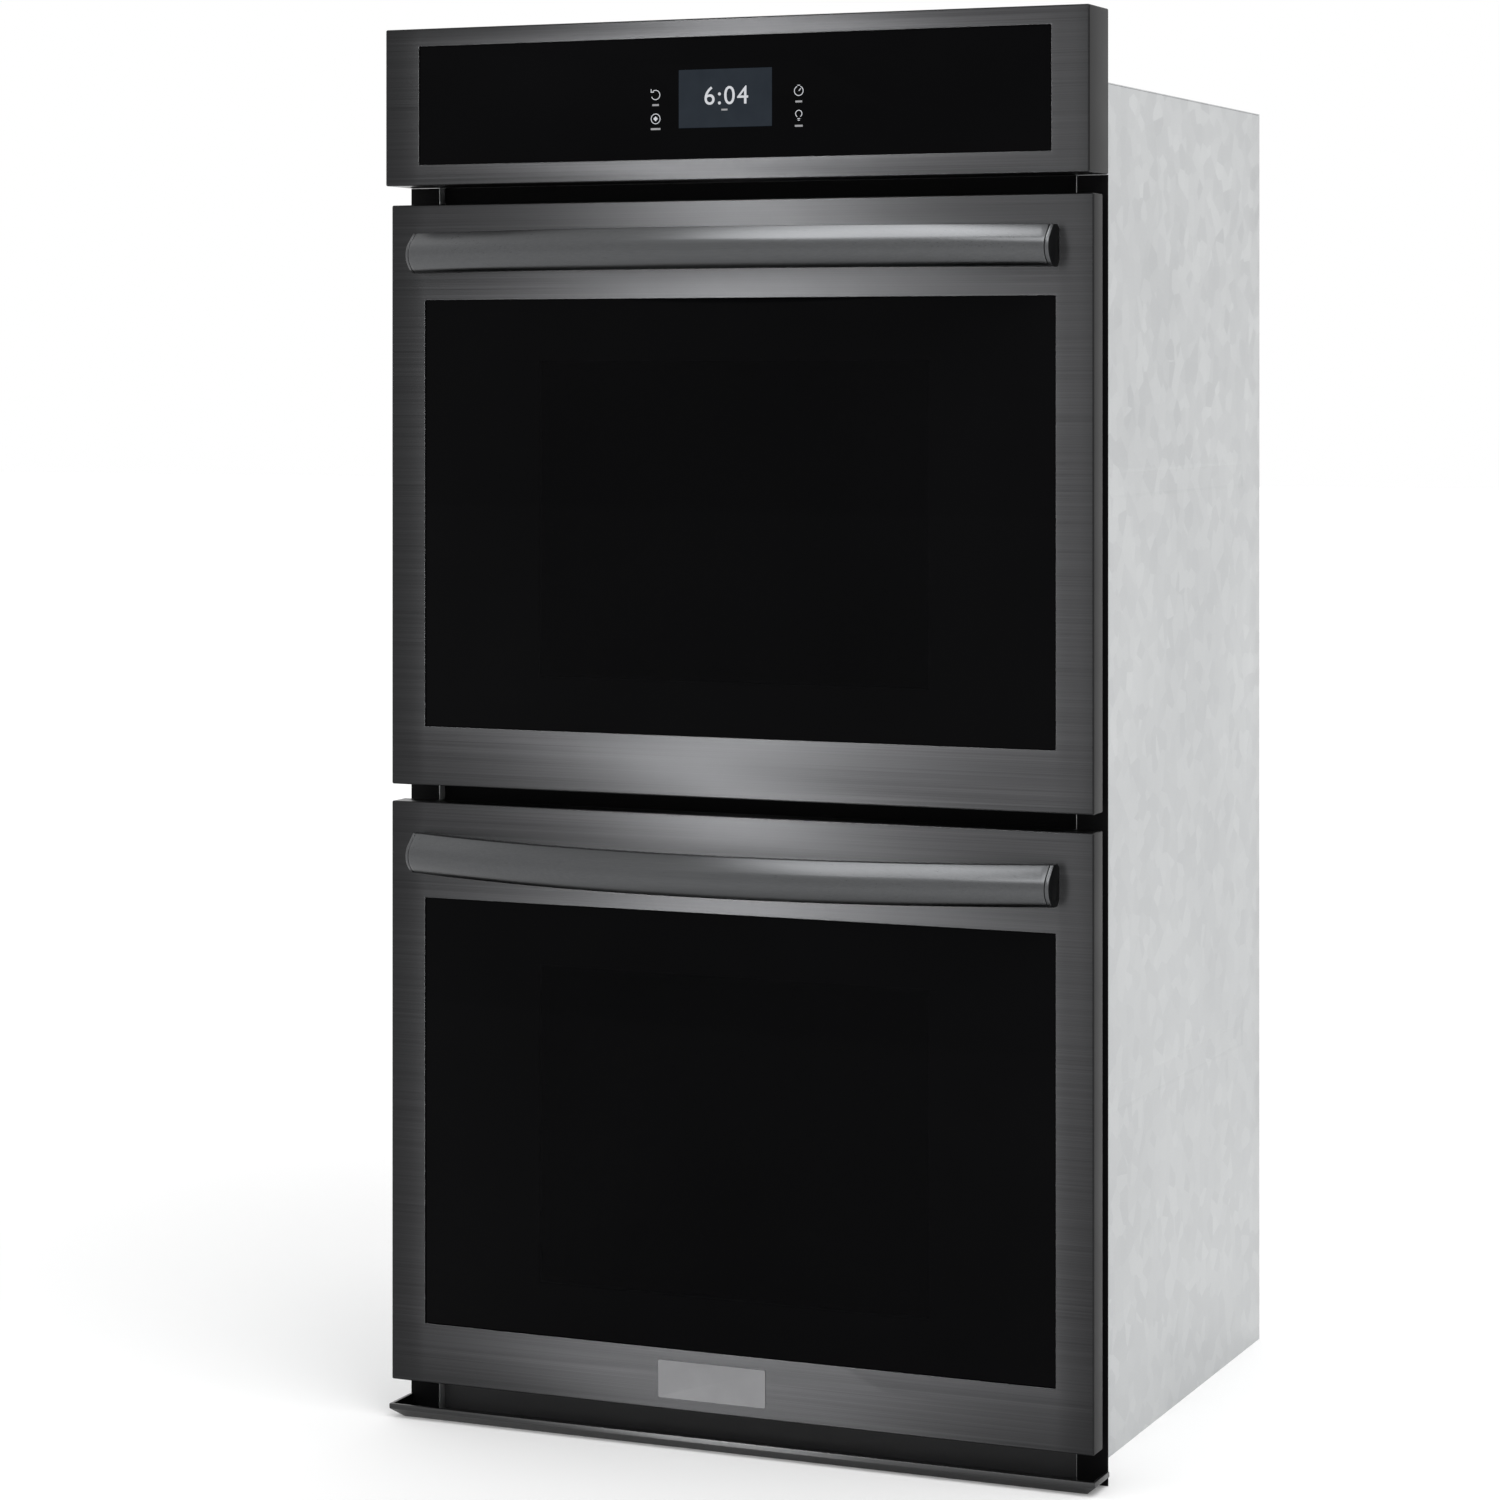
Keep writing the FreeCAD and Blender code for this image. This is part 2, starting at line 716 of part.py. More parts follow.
def make_fan(middle):
    """Convection fan wheel: a disc with bent-up blades, a hub and the motor's shaft."""
    front = cavity_back - fan_depth - fan_front_gap
    disc_y = cavity_back - fan_disc_set
    disc = rod(fan_radius * fan_disc_share, Vector(0, disc_y, middle), Y_AXIS, fan_plate)
    hub = rod(fan_hub, Vector(0, front, middle), Y_AXIS, disc_y + fan_plate - front)
    shaft = rod(fan_shaft, Vector(0, front, middle), Y_AXIS, motor_front + motor_length / 2 - front)
    blades = []
    for k in range(fan_blades):
        blade = box(blade_root, fan_radius, front + fan_plate, disc_y + fan_plate / 2,
                    middle - blade_thick / 2, middle + blade_thick / 2)
        blade.rotate(Vector(blade_middle, 0, middle), Y_AXIS, blade_turn)
        blade.rotate(Vector(0, 0, middle), Y_AXIS, k * 360 / fan_blades)
        blades.append(blade)
    return fused([disc, hub, shaft] + blades)


def make_fan_motor(middle):
    can = rod(motor_radius, Vector(0, motor_front + sheet, middle), Y_AXIS, motor_length)
    plate = box(-motor_radius - motor_ear, motor_radius + motor_ear, motor_front, motor_front + sheet * 2,
                middle - motor_radius, middle + motor_radius)
    bore = rod(fan_shaft + shaft_clearance, Vector(0, motor_front - past, middle), Y_AXIS,
               motor_length / 2 + 2 * past + touch)
    return fused([can, plate]).cut(bore)


def make_lamp_bulb(top):
    """The lamp's socket behind the wall and the bulb that looks in through its lens."""
    z = top - lamp_drop
    base = cavity_back + liner
    socket_y = base + insulation / 2
    socket = rod(lens_radius - 2 * lens_rim + touch, Vector(lamp_x, socket_y, z), Y_AXIS,
                 insulation / 2 + socket_rear)
    seat = rod(lens_radius + lens_rim, Vector(lamp_x, base + insulation + touch, z), Y_AXIS, sheet)
    tip_y = base - sheet
    bulb = rod(bulb_radius, Vector(lamp_x, tip_y, z), Y_AXIS, socket_y + past - tip_y)
    tip = Part.makeSphere(bulb_radius, Vector(lamp_x, tip_y, z))
    return fused([socket, seat, bulb, tip])


def make_lamp_lens(top):
    """A domed glass cover that closes the lamp's hole in the rear wall."""
    z = top - lamp_drop
    front = cavity_back - lens_dome
    disc = rod(lens_radius, Vector(lamp_x, front, z), Y_AXIS, lens_dome)
    rim = [edge for edge in disc.Edges if abs(edge.CenterOfMass.y - front) < small]
    disc = disc.makeFillet(lens_round, rim)
    hollow = rod(lens_radius - lens_rim, Vector(lamp_x, front + lens_thick, z), Y_AXIS, lens_dome)
    return disc.cut(hollow)


def make_probe(top):
    z = top - probe_drop
    start = cavity_back - probe_length
    stem = rod(probe_radius, Vector(probe_x, start, z), Y_AXIS, terminal_y - start)
    plate = box(probe_x - probe_plate_half, probe_x + probe_plate_half, cavity_back - probe_plate_thick,
                cavity_back, z - probe_plate_rise, z + probe_plate_rise)
    return fused([stem, plate])


def make_gasket(bottom):
    """The woven seal round the cavity's mouth."""
    low, high = bottom + cavity_floor, bottom + door_height - cavity_roof
    front = face_set - gasket_gap + gasket_lap
    foot = low - gasket_spread + 2 * past
    outer = wide(cavity_half + gasket_spread, front, face_set, foot, high + gasket_spread)
    inner_half_width = cavity_half + gasket_spread - gasket_width
    inner = wide(inner_half_width, front - past, face_set + past, foot + gasket_width,
                 high + gasket_spread - gasket_width)
    corners = [edge for edge in outer.Edges if abs(edge.Length - (face_set - front)) < small]
    outer = outer.makeFillet(gasket_spread, corners)
    corners = [edge for edge in inner.Edges if abs(edge.Length - (face_set - front) - 2 * past) < small]
    return outer.cut(inner.makeFillet(gasket_spread - gasket_width, corners))


# ---- racks ----
def make_rack(z):
    half = cavity_half - rack_side_gap
    y0, y1 = rack_front, rack_front + rack_depth
    z = z + rack_rod + rack_lift
    pieces = [rod(rack_rod, Vector(side * (half - rack_rod), y0, z), Y_AXIS, rack_depth) for side in (-1, 1)]
    for y in (y0 + rack_rod, (y0 + y1) / 2, y1 - rack_rod):
        pieces.append(rod(rack_cross, Vector(-half + rack_rod, y, z), X_AXIS, 2 * (half - rack_rod)))
    for k in range(rack_wire_count):
        x = (k - (rack_wire_count - 1) / 2) * 2 * (half - 2 * rack_rod) / (rack_wire_count + 1)
        pieces.append(rod(rack_wire, Vector(x, y0 + rack_cross, z + rack_cross), Y_AXIS,
                          rack_depth - 2 * rack_cross))
    return fused(pieces)


# ---- doors ----
def make_door_skin(bottom):
    top = bottom + door_height
    pan = wide(half_width, door_front, skin_rear, bottom, top)
    pan = pan.cut(wide(half_width - skin_sheet, door_front + skin_sheet, skin_rear + past,
                       bottom + skin_sheet, top - skin_sheet))
    window = wide(half_width - border_side, door_front - past, skin_rear, bottom + border_bottom,
                  top - border_top)
    pan = pan.cut(window)
    notch = box(ear_inner - arm_gap, pin_end + notch_clearance, pivot_y - ear_radius - notch_clearance,
                skin_rear + past, bottom - past, bottom + skin_sheet + past)
    pan = pan.cut(notch).cut(mirrored(notch))
    for side in (-1, 1):
        start = Vector(side * post_x, door_front - past, top - handle_drop)
        pan = pan.cut(rod(screw_radius + touch, start, Y_AXIS, skin_sheet + 2 * past))
    return pan


def make_outer_glass(bottom):
    y = door_front + skin_sheet
    return wide(half_width - border_side + pane_margin, y, y + glass,
                bottom + border_bottom - pane_margin, bottom + door_height - border_top + pane_margin)


def make_door_liner(bottom):
    """The inner pan of the door, with its window and the slot that takes the latch hook."""
    top = bottom + door_height
    low, high = bottom + liner_bottom_inset, top - liner_top_inset
    pan = wide(liner_half, skin_rear, door_rear, low, high)
    pan = pan.cut(wide(liner_half - door_liner, skin_rear - past, door_rear - door_liner,
                       low + door_liner, high - door_liner))
    pan = pan.cut(wide(clear_half, skin_rear, door_rear + past, bottom + window_bottom, top - window_top))
    hook_z = top - hook_drop
    slot = box(hook_x - slot_left, hook_x + slot_right, door_rear - door_liner - past, door_rear + past,
               hook_z - slot_rise, hook_z + hook_thick + slot_rise)
    flange = wide(half_width - skin_sheet - touch, skin_rear - door_liner, skin_rear, low, high)
    flange = flange.cut(wide(liner_half - door_liner, skin_rear - door_liner - past, skin_rear + past,
                             low + door_liner, high - door_liner))
    notch = box(liner_half, half_width, skin_rear - door_liner - past, skin_rear + past,
                bottom, bottom + pivot_up + ear_radius + arm_height + notch_clearance)
    flange = flange.cut(notch).cut(mirrored(notch))
    return pan.cut(slot).fuse(flange).removeSplitter()


def make_window_frame(bottom):
    """The sheet tunnel between the outer glass and the inner liner."""
    top = bottom + door_height
    y0, y1 = door_front + skin_sheet + glass, door_rear - door_liner
    t = window_frame_sheet
    outer = wide(clear_half + t, y0, y1, bottom + window_bottom - t, top - window_top + t)
    inner = wide(clear_half, y0 - past, y1 + past, bottom + window_bottom, top - window_top)
    return outer.cut(inner)


def make_glass_pack(bottom):
    """The panes inside the tunnel; the last is the one the cavity sees."""
    top = bottom + door_height
    panes = []
    last = door_rear - door_liner - pane_thick
    for k in range(pane_count):
        y = last - k * pane_pitch
        panes.append(wide(clear_half - glue, y, y + pane_thick, bottom + window_bottom + glue,
                          top - window_top - glue))
    return group(panes)


ear_inner = liner_half + arm_thick + arm_gap + touch
pin_end = ear_inner + ear_thick + touch + pin_tail


def make_hinge_arms(bottom):
    """A side arm on each edge of the door with the pin it turns on."""
    z = bottom + pivot_up
    plate_x = liner_half + touch / 2
    arm = box(plate_x, plate_x + arm_thick, pivot_y - arm_half, door_rear - arm_rear_gap, z - arm_half,
              z + arm_height)
    pin_start = plate_x + arm_thick / 2
    pin = rod(pin_radius, Vector(pin_start, pivot_y, z), X_AXIS, pin_end - pin_start)
    head = rod(pin_radius + pin_tail, Vector(pin_end - pin_head, pivot_y, z), X_AXIS, pin_head)
    arms = fused([arm, pin, head])
    return group([arms, mirrored(arms)])


def make_hinge_receiver(bottom):
    """The fixed ear that the door's hinge pin turns in, and its foot on the oven's face."""
    z = bottom + pivot_up
    x0, x1 = ear_inner, ear_inner + ear_thick
    nose = rod(ear_radius, Vector(x0, pivot_y, z), X_AXIS, ear_thick)
    bar = box(x0, x1, pivot_y, face_set - foot_thick, z - ear_radius, z + ear_radius)
    foot = box(x0, face_half, face_set - foot_thick, face_set, z - ear_radius - foot_margin,
               z + ear_radius + foot_margin)
    bore = rod(pin_radius + pin_clearance, Vector(x0 - past, pivot_y, z), X_AXIS, ear_thick + 2 * past)
    return fused([nose, bar, foot]).cut(bore)


# ---- handles ----
handle_half = half_width - handle_inset
post_x = handle_half - post_inset
bow_radius = (handle_half ** 2 + handle_bow ** 2) / (2 * handle_bow)
bar_back = door_front - handle_stand - handle_bow   # back of the bar at its middle
bow_centre = bar_back + bow_radius


def handle_section(inset):
    """The bar's section at its middle: a bright top bevel, a convex front and a rounded underside."""
    h = handle_height / 2
    d = handle_depth

    def point(out, up, draw_out=0, draw_up=0):
        return Vector(0, bar_back - out * d + draw_out * inset, up * h + draw_up * inset)
    back = point(0, -0.72, -1)
    back_top = point(0, 0.80, -1)
    top_back = point(0.16, 1, 0, -1)
    top_front = point(0.50, 1, 0, -1)
    bevel = point(0.88, 0.42, 1, -0.5)
    front = point(1, -0.10, 1)
    low_front = point(0.86, -0.62, 1)
    turn = point(0.66, -0.90, 0, 1)
    bottom_front = point(0.42, -1, 0, 1)
    bottom_back = point(0.16, -1, 0, 1)
    edges = [
        Part.LineSegment(back, back_top).toShape(),
        Part.LineSegment(back_top, top_back).toShape(),
        Part.LineSegment(top_back, top_front).toShape(),
        Part.LineSegment(top_front, bevel).toShape(),
        Part.Arc(bevel, front, low_front).toShape(),
        Part.Arc(low_front, turn, bottom_front).toShape(),
        Part.LineSegment(bottom_front, bottom_back).toShape(),
        Part.LineSegment(bottom_back, back).toShape(),
    ]
    return Part.Face(Part.Wire(edges))


def bowed(section, z):
    """Sweep a section round the bow, a little past the handle's ends."""
    reach = math.degrees(math.asin(handle_half / (bow_radius - handle_depth))) + bow_overrun
    section.rotate(Vector(0, bow_centre, 0), Z_AXIS, -reach)
    bar = section.revolve(Vector(0, bow_centre, 0), Z_AXIS, 2 * reach)
    bar.translate(Vector(0, 0, z))
    return bar


def handle_slice(bar, x0, x1):
    return bar.common(box(x0, x1, bar_back - 2 * handle_depth, door_front, 0, overall_height))


def make_handle(top):
    """The hollow bar, and its two end pieces: a cap on the bar's end and the post behind it."""
    z = top - handle_drop
    solid = bowed(handle_section(0), z)
    hollow = bowed(handle_section(handle_wall), z)
    cap_x = handle_half - cap_thick
    bar = handle_slice(solid, -cap_x, cap_x).cut(handle_slice(hollow, -handle_half, handle_half))
    ends = []
    for side in (-1, 1):
        cap = handle_slice(solid, *sorted((side * cap_x, side * handle_half)))
        post = rod(post_radius, Vector(side * post_x, door_front, z), -Y_AXIS, handle_bow)
        start = Vector(side * post_x, door_front + past, z)
        thread = rod(screw_radius + touch / 2, start, -Y_AXIS, screw_reach + 2 * past)
        near = max(post.cut(solid).Solids, key=lambda piece: piece.CenterOfMass.y)
        ends += [cap, near.cut(thread)]
    return bar, group(ends)


def make_handle_screws(top):
    screws = []
    for side in (-1, 1):
        start = Vector(side * post_x, door_front + skin_sheet, top - handle_drop)
        shank = rod(screw_radius, start, -Y_AXIS, skin_sheet + screw_reach)
        head = rod(screw_head, start, Y_AXIS, screw_rise)
        recess = rod(screw_radius / 2, start + Y_AXIS * (screw_rise / 2), Y_AXIS, screw_rise)
        screws.append(shank.fuse(head).cut(recess))
    return group(screws)


# ---- control panel ----
display_top = overall_height - display_drop
display_low = display_top - display_height


def make_panel_frame():
    frame = wide(half_width, panel_front, 0, panel_bottom, overall_height)
    frame = frame.cut(wide(half_width - skin_sheet, panel_front + skin_sheet, past,
                           panel_bottom + skin_sheet, overall_height - skin_sheet))
    frame = frame.cut(wide(half_width - panel_border_side, panel_front - past, panel_front + 2 * skin_sheet,
                           panel_bottom + panel_border_bottom, overall_height - panel_border_top))
    tab = box(inner_half - tab_reach, half_width - skin_sheet, -skin_sheet, 0, panel_bottom + skin_sheet,
              chassis_height)
    return fused([frame, tab, mirrored(tab)])


def make_panel_glass():
    y = panel_front + skin_sheet
    pane = wide(half_width - panel_border_side + pane_margin, y, y + panel_glass,
                panel_bottom + panel_border_bottom - pane_margin,
                overall_height - panel_border_top + pane_margin)
    return pane.cut(wide(display_width / 2, y - past, y + panel_glass + past, display_low, display_top))


def make_display():
    y = panel_front + skin_sheet
    screen = wide(display_width / 2 - glue / 2, y + touch, y + display_depth, display_low + glue / 2,
                  display_top - glue / 2)
    shoulder = wide(display_width / 2 + shoulder_lap, y + panel_glass, y + display_depth,
                    display_low - shoulder_lap, display_top + shoulder_lap)
    return fused([screen, shoulder])


def make_circuit_boards():
    """The control board behind the display and the power board on the upper deck."""
    y = panel_front + skin_sheet + panel_glass + board_stand
    middle = (display_low + display_top) / 2
    board = wide(board_width / 2, y, y + board_thick, middle - board_height / 2, middle + board_height / 2)
    parts = [board, wide(socket_half, y + board_thick, y + board_thick + socket_depth, middle - socket_low,
                         middle - socket_high)]
    for side in (-1, 1):
        for rise in (-1, 1):
            x = side * (board_width / 2 - board_leg_inset)
            z = middle + rise * (board_height / 2 - board_leg_inset)
            parts.append(rod(board_leg, Vector(x, y - board_stand, z), Y_AXIS, board_stand))
    control = fused(parts)
    base = upper_deck + sheet
    plate_low = base + power_lift
    plate_top = plate_low + board_thick
    parts = [box(power_left, power_right, power_front, power_rear, plate_low, plate_top)]
    for x in (power_left + board_leg_inset, power_right - board_leg_inset):
        for y in (power_front + board_leg_inset, power_rear - board_leg_inset):
            parts.append(rod(board_leg, Vector(x, y, base), Z_AXIS, power_lift))
    for k in range(power_rows):
        y = power_front + power_first + k * power_pitch
        x = power_left + relay_set
        parts.append(box(x, x + relay_width, y, y + relay_depth, plate_top, plate_top + relay_height))
        parts.append(rod(coil_radius, Vector(power_right - coil_set, y + relay_depth / 2, plate_low), Z_AXIS,
                         coil_height))
    return group([control, fused(parts)])


# ---- electrical entry and cooling blower ----
def make_junction_box():
    """The closed box for the supply wires, with a knockout in its rear wall."""
    rear = body_depth - sheet - touch
    front = rear - junction_depth
    floor = upper_deck + sheet
    shell = box(junction_left, junction_right, front, rear, floor, junction_top)
    shell = shell.cut(box(junction_left + box_wall, junction_right - box_wall, front + box_wall,
                          rear - box_wall, floor + box_wall, junction_top - box_wall))
    x = (junction_left + junction_right) / 2
    knockout = rod(knockout_radius, Vector(x, rear - 2 * box_wall, knockout_z), Y_AXIS, 3 * box_wall)
    wires = rod(wire_entry, Vector(x, front - past, knockout_z), Y_AXIS, 2 * box_wall + past)
    return shell.cut(knockout).cut(wires)


def make_blower_housing():
    z = upper_deck + sheet
    shell = rod(scroll_radius, Vector(0, blower_y, z), Z_AXIS, scroll_height)
    inside = rod(scroll_radius - box_wall, Vector(0, blower_y, z + box_wall), Z_AXIS,
                 scroll_height - 2 * box_wall)
    inlet = rod(wheel_radius * inlet_share, Vector(0, blower_y, z + scroll_height / 2), Z_AXIS, scroll_height)
    outlet = rod(wheel_radius / 2, Vector(0, blower_y, z - past), Z_AXIS, 2 * box_wall + past)
    foot = box(-scroll_radius - scroll_foot, scroll_radius + scroll_foot, blower_y - scroll_foot_half,
               blower_y + scroll_foot_half, z, z + box_wall)
    return fused([shell.cut(inside).cut(inlet), foot]).cut(inside).cut(outlet)


def make_blower_motor():
    z = upper_deck + sheet + scroll_height
    bar = box(-scroll_radius, scroll_radius, blower_y - blower_bar_half, blower_y + blower_bar_half, z,
              z + blower_bar_thick)
    can = rod(blower_motor_radius, Vector(0, blower_y, z + blower_bar_thick), Z_AXIS, blower_motor_height)
    bore = rod(fan_shaft + shaft_clearance, Vector(0, blower_y, z - past), Z_AXIS,
               wheel_shaft_rise + 2 * past)
    return fused([bar, can]).cut(bore)


def make_blower_wheel():
    z = upper_deck + sheet + box_wall + wheel_lift
    centre = Vector(0, blower_y, z)
    disc = rod(wheel_radius, centre, Z_AXIS, wheel_plate)
    rim_z = z + wheel_height - wheel_plate
    rim = rod(wheel_radius, Vector(0, blower_y, rim_z), Z_AXIS, wheel_plate)
    rim = rim.cut(rod(wheel_radius * wheel_rim_share, Vector(0, blower_y, rim_z - past), Z_AXIS,
                      wheel_plate + 2 * past))
    shaft_top = upper_deck + sheet + scroll_height + wheel_shaft_rise
    shaft = rod(fan_shaft, centre, Z_AXIS, shaft_top - z)
    hub = rod(wheel_hub, centre, Z_AXIS, wheel_hub_height)
    blades = []
    for k in range(wheel_blades):
        blade = box(wheel_radius * wheel_blade_share, wheel_radius - past, blower_y - wheel_blade_thick / 2,
                    blower_y + wheel_blade_thick / 2, z + wheel_plate / 2, rim_z + wheel_plate / 2)
        blade_x = wheel_radius * (1 + wheel_blade_share) / 2
        blade.rotate(Vector(blade_x, blower_y, z), Z_AXIS, wheel_blade_turn)
        blade.rotate(centre, Z_AXIS, k * 360 / wheel_blades)
        blades.append(blade)
    return fused([disc, rim, shaft, hub] + blades)


def make_name_plate():
    """A blank raised plate on the lower door's bottom border."""
    middle_z = lower_bottom + border_bottom / 2
    return box(plate_x - plate_width / 2, plate_x + plate_width / 2, door_front - plate_thick, door_front,
               middle_z - plate_height / 2, middle_z + plate_height / 2)


def make_chassis_screws():
    return group([chassis_screw(point, Y_AXIS) for point in back_screws]
                 + [chassis_screw(point, Z_AXIS) for point in top_screws])


os.makedirs("parts", exist_ok=True)
ovens = {"upper": upper_bottom, "lower": lower_bottom}
roofs = [bottom + door_height - cavity_roof for bottom in ovens.values()]
floors = [bottom + cavity_floor for bottom in ovens.values()]
middles = [(low + high) / 2 for low, high in zip(floors, roofs)]

save("base_pan", make_base_pan())
save("chassis_side_left", make_chassis_side(-1))
save("chassis_side_right", make_chassis_side(1))
save("chassis_back", make_chassis_back())
save("chassis_top", make_chassis_top())
save("duct_decks", make_duct_decks())
save("side_flange_left", make_side_flange(-1))
save("side_flange_right", make_side_flange(1))
save("bottom_trim", make_bottom_trim())
save("vent_grilles", make_vent_grilles())
save("chassis_screws", make_chassis_screws())
save("control_panel_frame", make_panel_frame())
save("control_glass", make_panel_glass())
save("display_module", make_display())
save("circuit_boards", make_circuit_boards())
save("junction_box", make_junction_box())
save("blower_housing", make_blower_housing())
save("blower_motor", make_blower_motor())
save("blower_wheel", make_blower_wheel())
save("cavity_insulation", group([make_insulation(bottom) for bottom in ovens.values()]))
save("bake_elements", group([make_flat_element(low - liner - bake_drop) for low in floors]))
save("broil_elements", group([make_flat_element(high - broil_drop) for high in roofs]))
save("convection_elements", group([make_ring_element(middle) for middle in middles]))
save("fan_covers", group([make_fan_cover(middle) for middle in middles]))
save("convection_motors", group([make_fan_motor(middle) for middle in middles]))
save("lamp_bulbs", group([make_lamp_bulb(high) for high in roofs]))
save("lamp_lenses", group([make_lamp_lens(high) for high in roofs]))
save("temperature_probes", group([make_probe(high) for high in roofs]))
save("door_gaskets", group([make_gasket(bottom) for bottom in ovens.values()]))
receivers = [make_hinge_receiver(bottom) for bottom in ovens.values()]
save("hinge_receivers", group(receivers + [mirrored(receiver) for receiver in receivers]))
save("latch_motors", make_latch_motors())
save("name_plate", make_name_plate())
for name, bottom in ovens.items():
    top = bottom + door_height
    low = bottom + cavity_floor
    save(name + "_cavity", make_cavity(bottom))
    save(name + "_fan", make_fan((low + top - cavity_roof) / 2))
    save(name + "_latch_hook", make_latch_hook(top))
    for place, level in zip(("low", "high"), rack_used):
        save(name + "_rack_" + place, make_rack(low + rack_first + level * rack_pitch))
    save(name + "_door_skin", make_door_skin(bottom))
    save(name + "_door_outer_glass", make_outer_glass(bottom))
    save(name + "_door_liner", make_door_liner(bottom))
    save(name + "_door_window_frame", make_window_frame(bottom))
    save(name + "_door_glass_pack", make_glass_pack(bottom))
    save(name + "_door_hinge_arms", make_hinge_arms(bottom))
    handle_bar, handle_ends = make_handle(top)
    save(name + "_handle_bar", handle_bar)
    save(name + "_handle_ends", handle_ends)
    save(name + "_handle_screws", make_handle_screws(top))
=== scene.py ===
import bpy
import bmesh
from math import asin, degrees, radians
from mathutils import Matrix, Vector


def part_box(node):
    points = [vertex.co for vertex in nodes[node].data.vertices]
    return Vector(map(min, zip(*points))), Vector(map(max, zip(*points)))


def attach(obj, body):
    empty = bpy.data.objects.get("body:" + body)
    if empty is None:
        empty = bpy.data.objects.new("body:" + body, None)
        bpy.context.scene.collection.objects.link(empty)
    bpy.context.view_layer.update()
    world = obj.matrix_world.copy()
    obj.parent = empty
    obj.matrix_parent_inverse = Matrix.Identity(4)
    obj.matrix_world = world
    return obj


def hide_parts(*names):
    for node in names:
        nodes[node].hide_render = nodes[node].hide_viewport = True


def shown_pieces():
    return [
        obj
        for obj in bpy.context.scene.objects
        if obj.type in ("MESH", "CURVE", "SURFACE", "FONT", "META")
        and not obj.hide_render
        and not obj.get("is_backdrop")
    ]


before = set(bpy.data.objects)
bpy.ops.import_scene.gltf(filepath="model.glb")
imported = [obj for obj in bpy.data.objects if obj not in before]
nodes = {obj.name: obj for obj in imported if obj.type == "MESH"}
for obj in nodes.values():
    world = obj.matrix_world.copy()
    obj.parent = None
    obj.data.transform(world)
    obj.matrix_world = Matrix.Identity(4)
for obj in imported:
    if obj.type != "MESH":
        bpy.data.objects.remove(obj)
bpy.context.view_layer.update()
mm = 0.001
hair = 0.01 * mm  # closer than this counts as the same place
past = 10 * mm  # how far a cutter reaches beyond what it cuts


# shader maths: a socket that can be used in plain expressions
class Wire:
    def __init__(self, tree, socket):
        self.tree, self.socket = tree, socket

    def maths(self, operation, *values):
        return node(self.tree, "ShaderNodeMath", {"operation": operation}, dict(enumerate(values)))

    def __add__(self, other):
        return self.maths("ADD", self, other)

    def __radd__(self, other):
        return self.maths("ADD", other, self)

    def __sub__(self, other):
        return self.maths("SUBTRACT", self, other)

    def __rsub__(self, other):
        return self.maths("SUBTRACT", other, self)

    def __mul__(self, other):
        return self.maths("MULTIPLY", self, other)

    def __gt__(self, other):
        return self.maths("GREATER_THAN", self, other)

    def __lt__(self, other):
        return self.maths("LESS_THAN", self, other)

    def __abs__(self):
        return self.maths("ABSOLUTE", self)


def node(tree, kind, settings=None, inputs=None, output=0):
    made = tree.nodes.new(kind)
    for key, value in (settings or {}).items():
        if key == "stops":  # colour ramp stops, as (place, grey)
            ramp = made.color_ramp.elements
            while len(ramp) < len(value):
                ramp.new(0.5)
            for stop, (place, shade) in zip(ramp, value):
                stop.position = place
                stop.color = (shade, shade, shade, 1) if isinstance(shade, (int, float)) else (*shade, 1)
        else:
            setattr(made, key, value)
    for key, value in (inputs or {}).items():
        feed(tree, made.inputs[key], value)
    return Wire(tree, made.outputs[output])


def feed(tree, socket, value):
    if isinstance(value, Wire):
        tree.links.new(value.socket, socket)
    else:
        socket.default_value = value


def newFinish(name, settings):
    finish = bpy.data.materials.new(name)
    finish.use_nodes = True
    tree = finish.node_tree
    shader = tree.nodes["Principled BSDF"]
    for key, value in settings.items():
        shader.inputs[key].default_value = value
    return finish, tree, shader


def place(tree, scale=(1, 1, 1), turn=(0, 0, 0)):  # object coordinates, stretched
    where = node(tree, "ShaderNodeTexCoord", output=3)
    return node(tree, "ShaderNodeMapping", None, {"Vector": where, "Scale": scale, "Rotation": turn})


def noise(tree, where, scale, detail=3, rough=0.5):
    return node(tree, "ShaderNodeTexNoise", None, {"Vector": where, "Scale": scale, "Detail": detail,
                                                   "Roughness": rough})


def ramp(tree, value, stops):
    return node(tree, "ShaderNodeValToRGB", {"stops": stops}, {"Fac": value})


def blendColour(tree, amount, first, second, how="MIX"):
    made = tree.nodes.new("ShaderNodeMix")
    made.data_type, made.blend_type = "RGBA", how
    feed(tree, made.inputs[0], amount)
    feed(tree, made.inputs[6], first if isinstance(first, Wire) else (*first, 1))
    feed(tree, made.inputs[7], second if isinstance(second, Wire) else (*second, 1))
    return Wire(tree, made.outputs[2])


def bump(tree, height, strength, distance):
    return node(tree, "ShaderNodeBump", None, {"Height": height, "Strength": strength, "Distance": distance})


def axisOf(tree, where, letter):
    made = node(tree, "ShaderNodeSeparateXYZ", None, {"Vector": where})
    return Wire(tree, made.socket.node.outputs["XYZ".index(letter)])


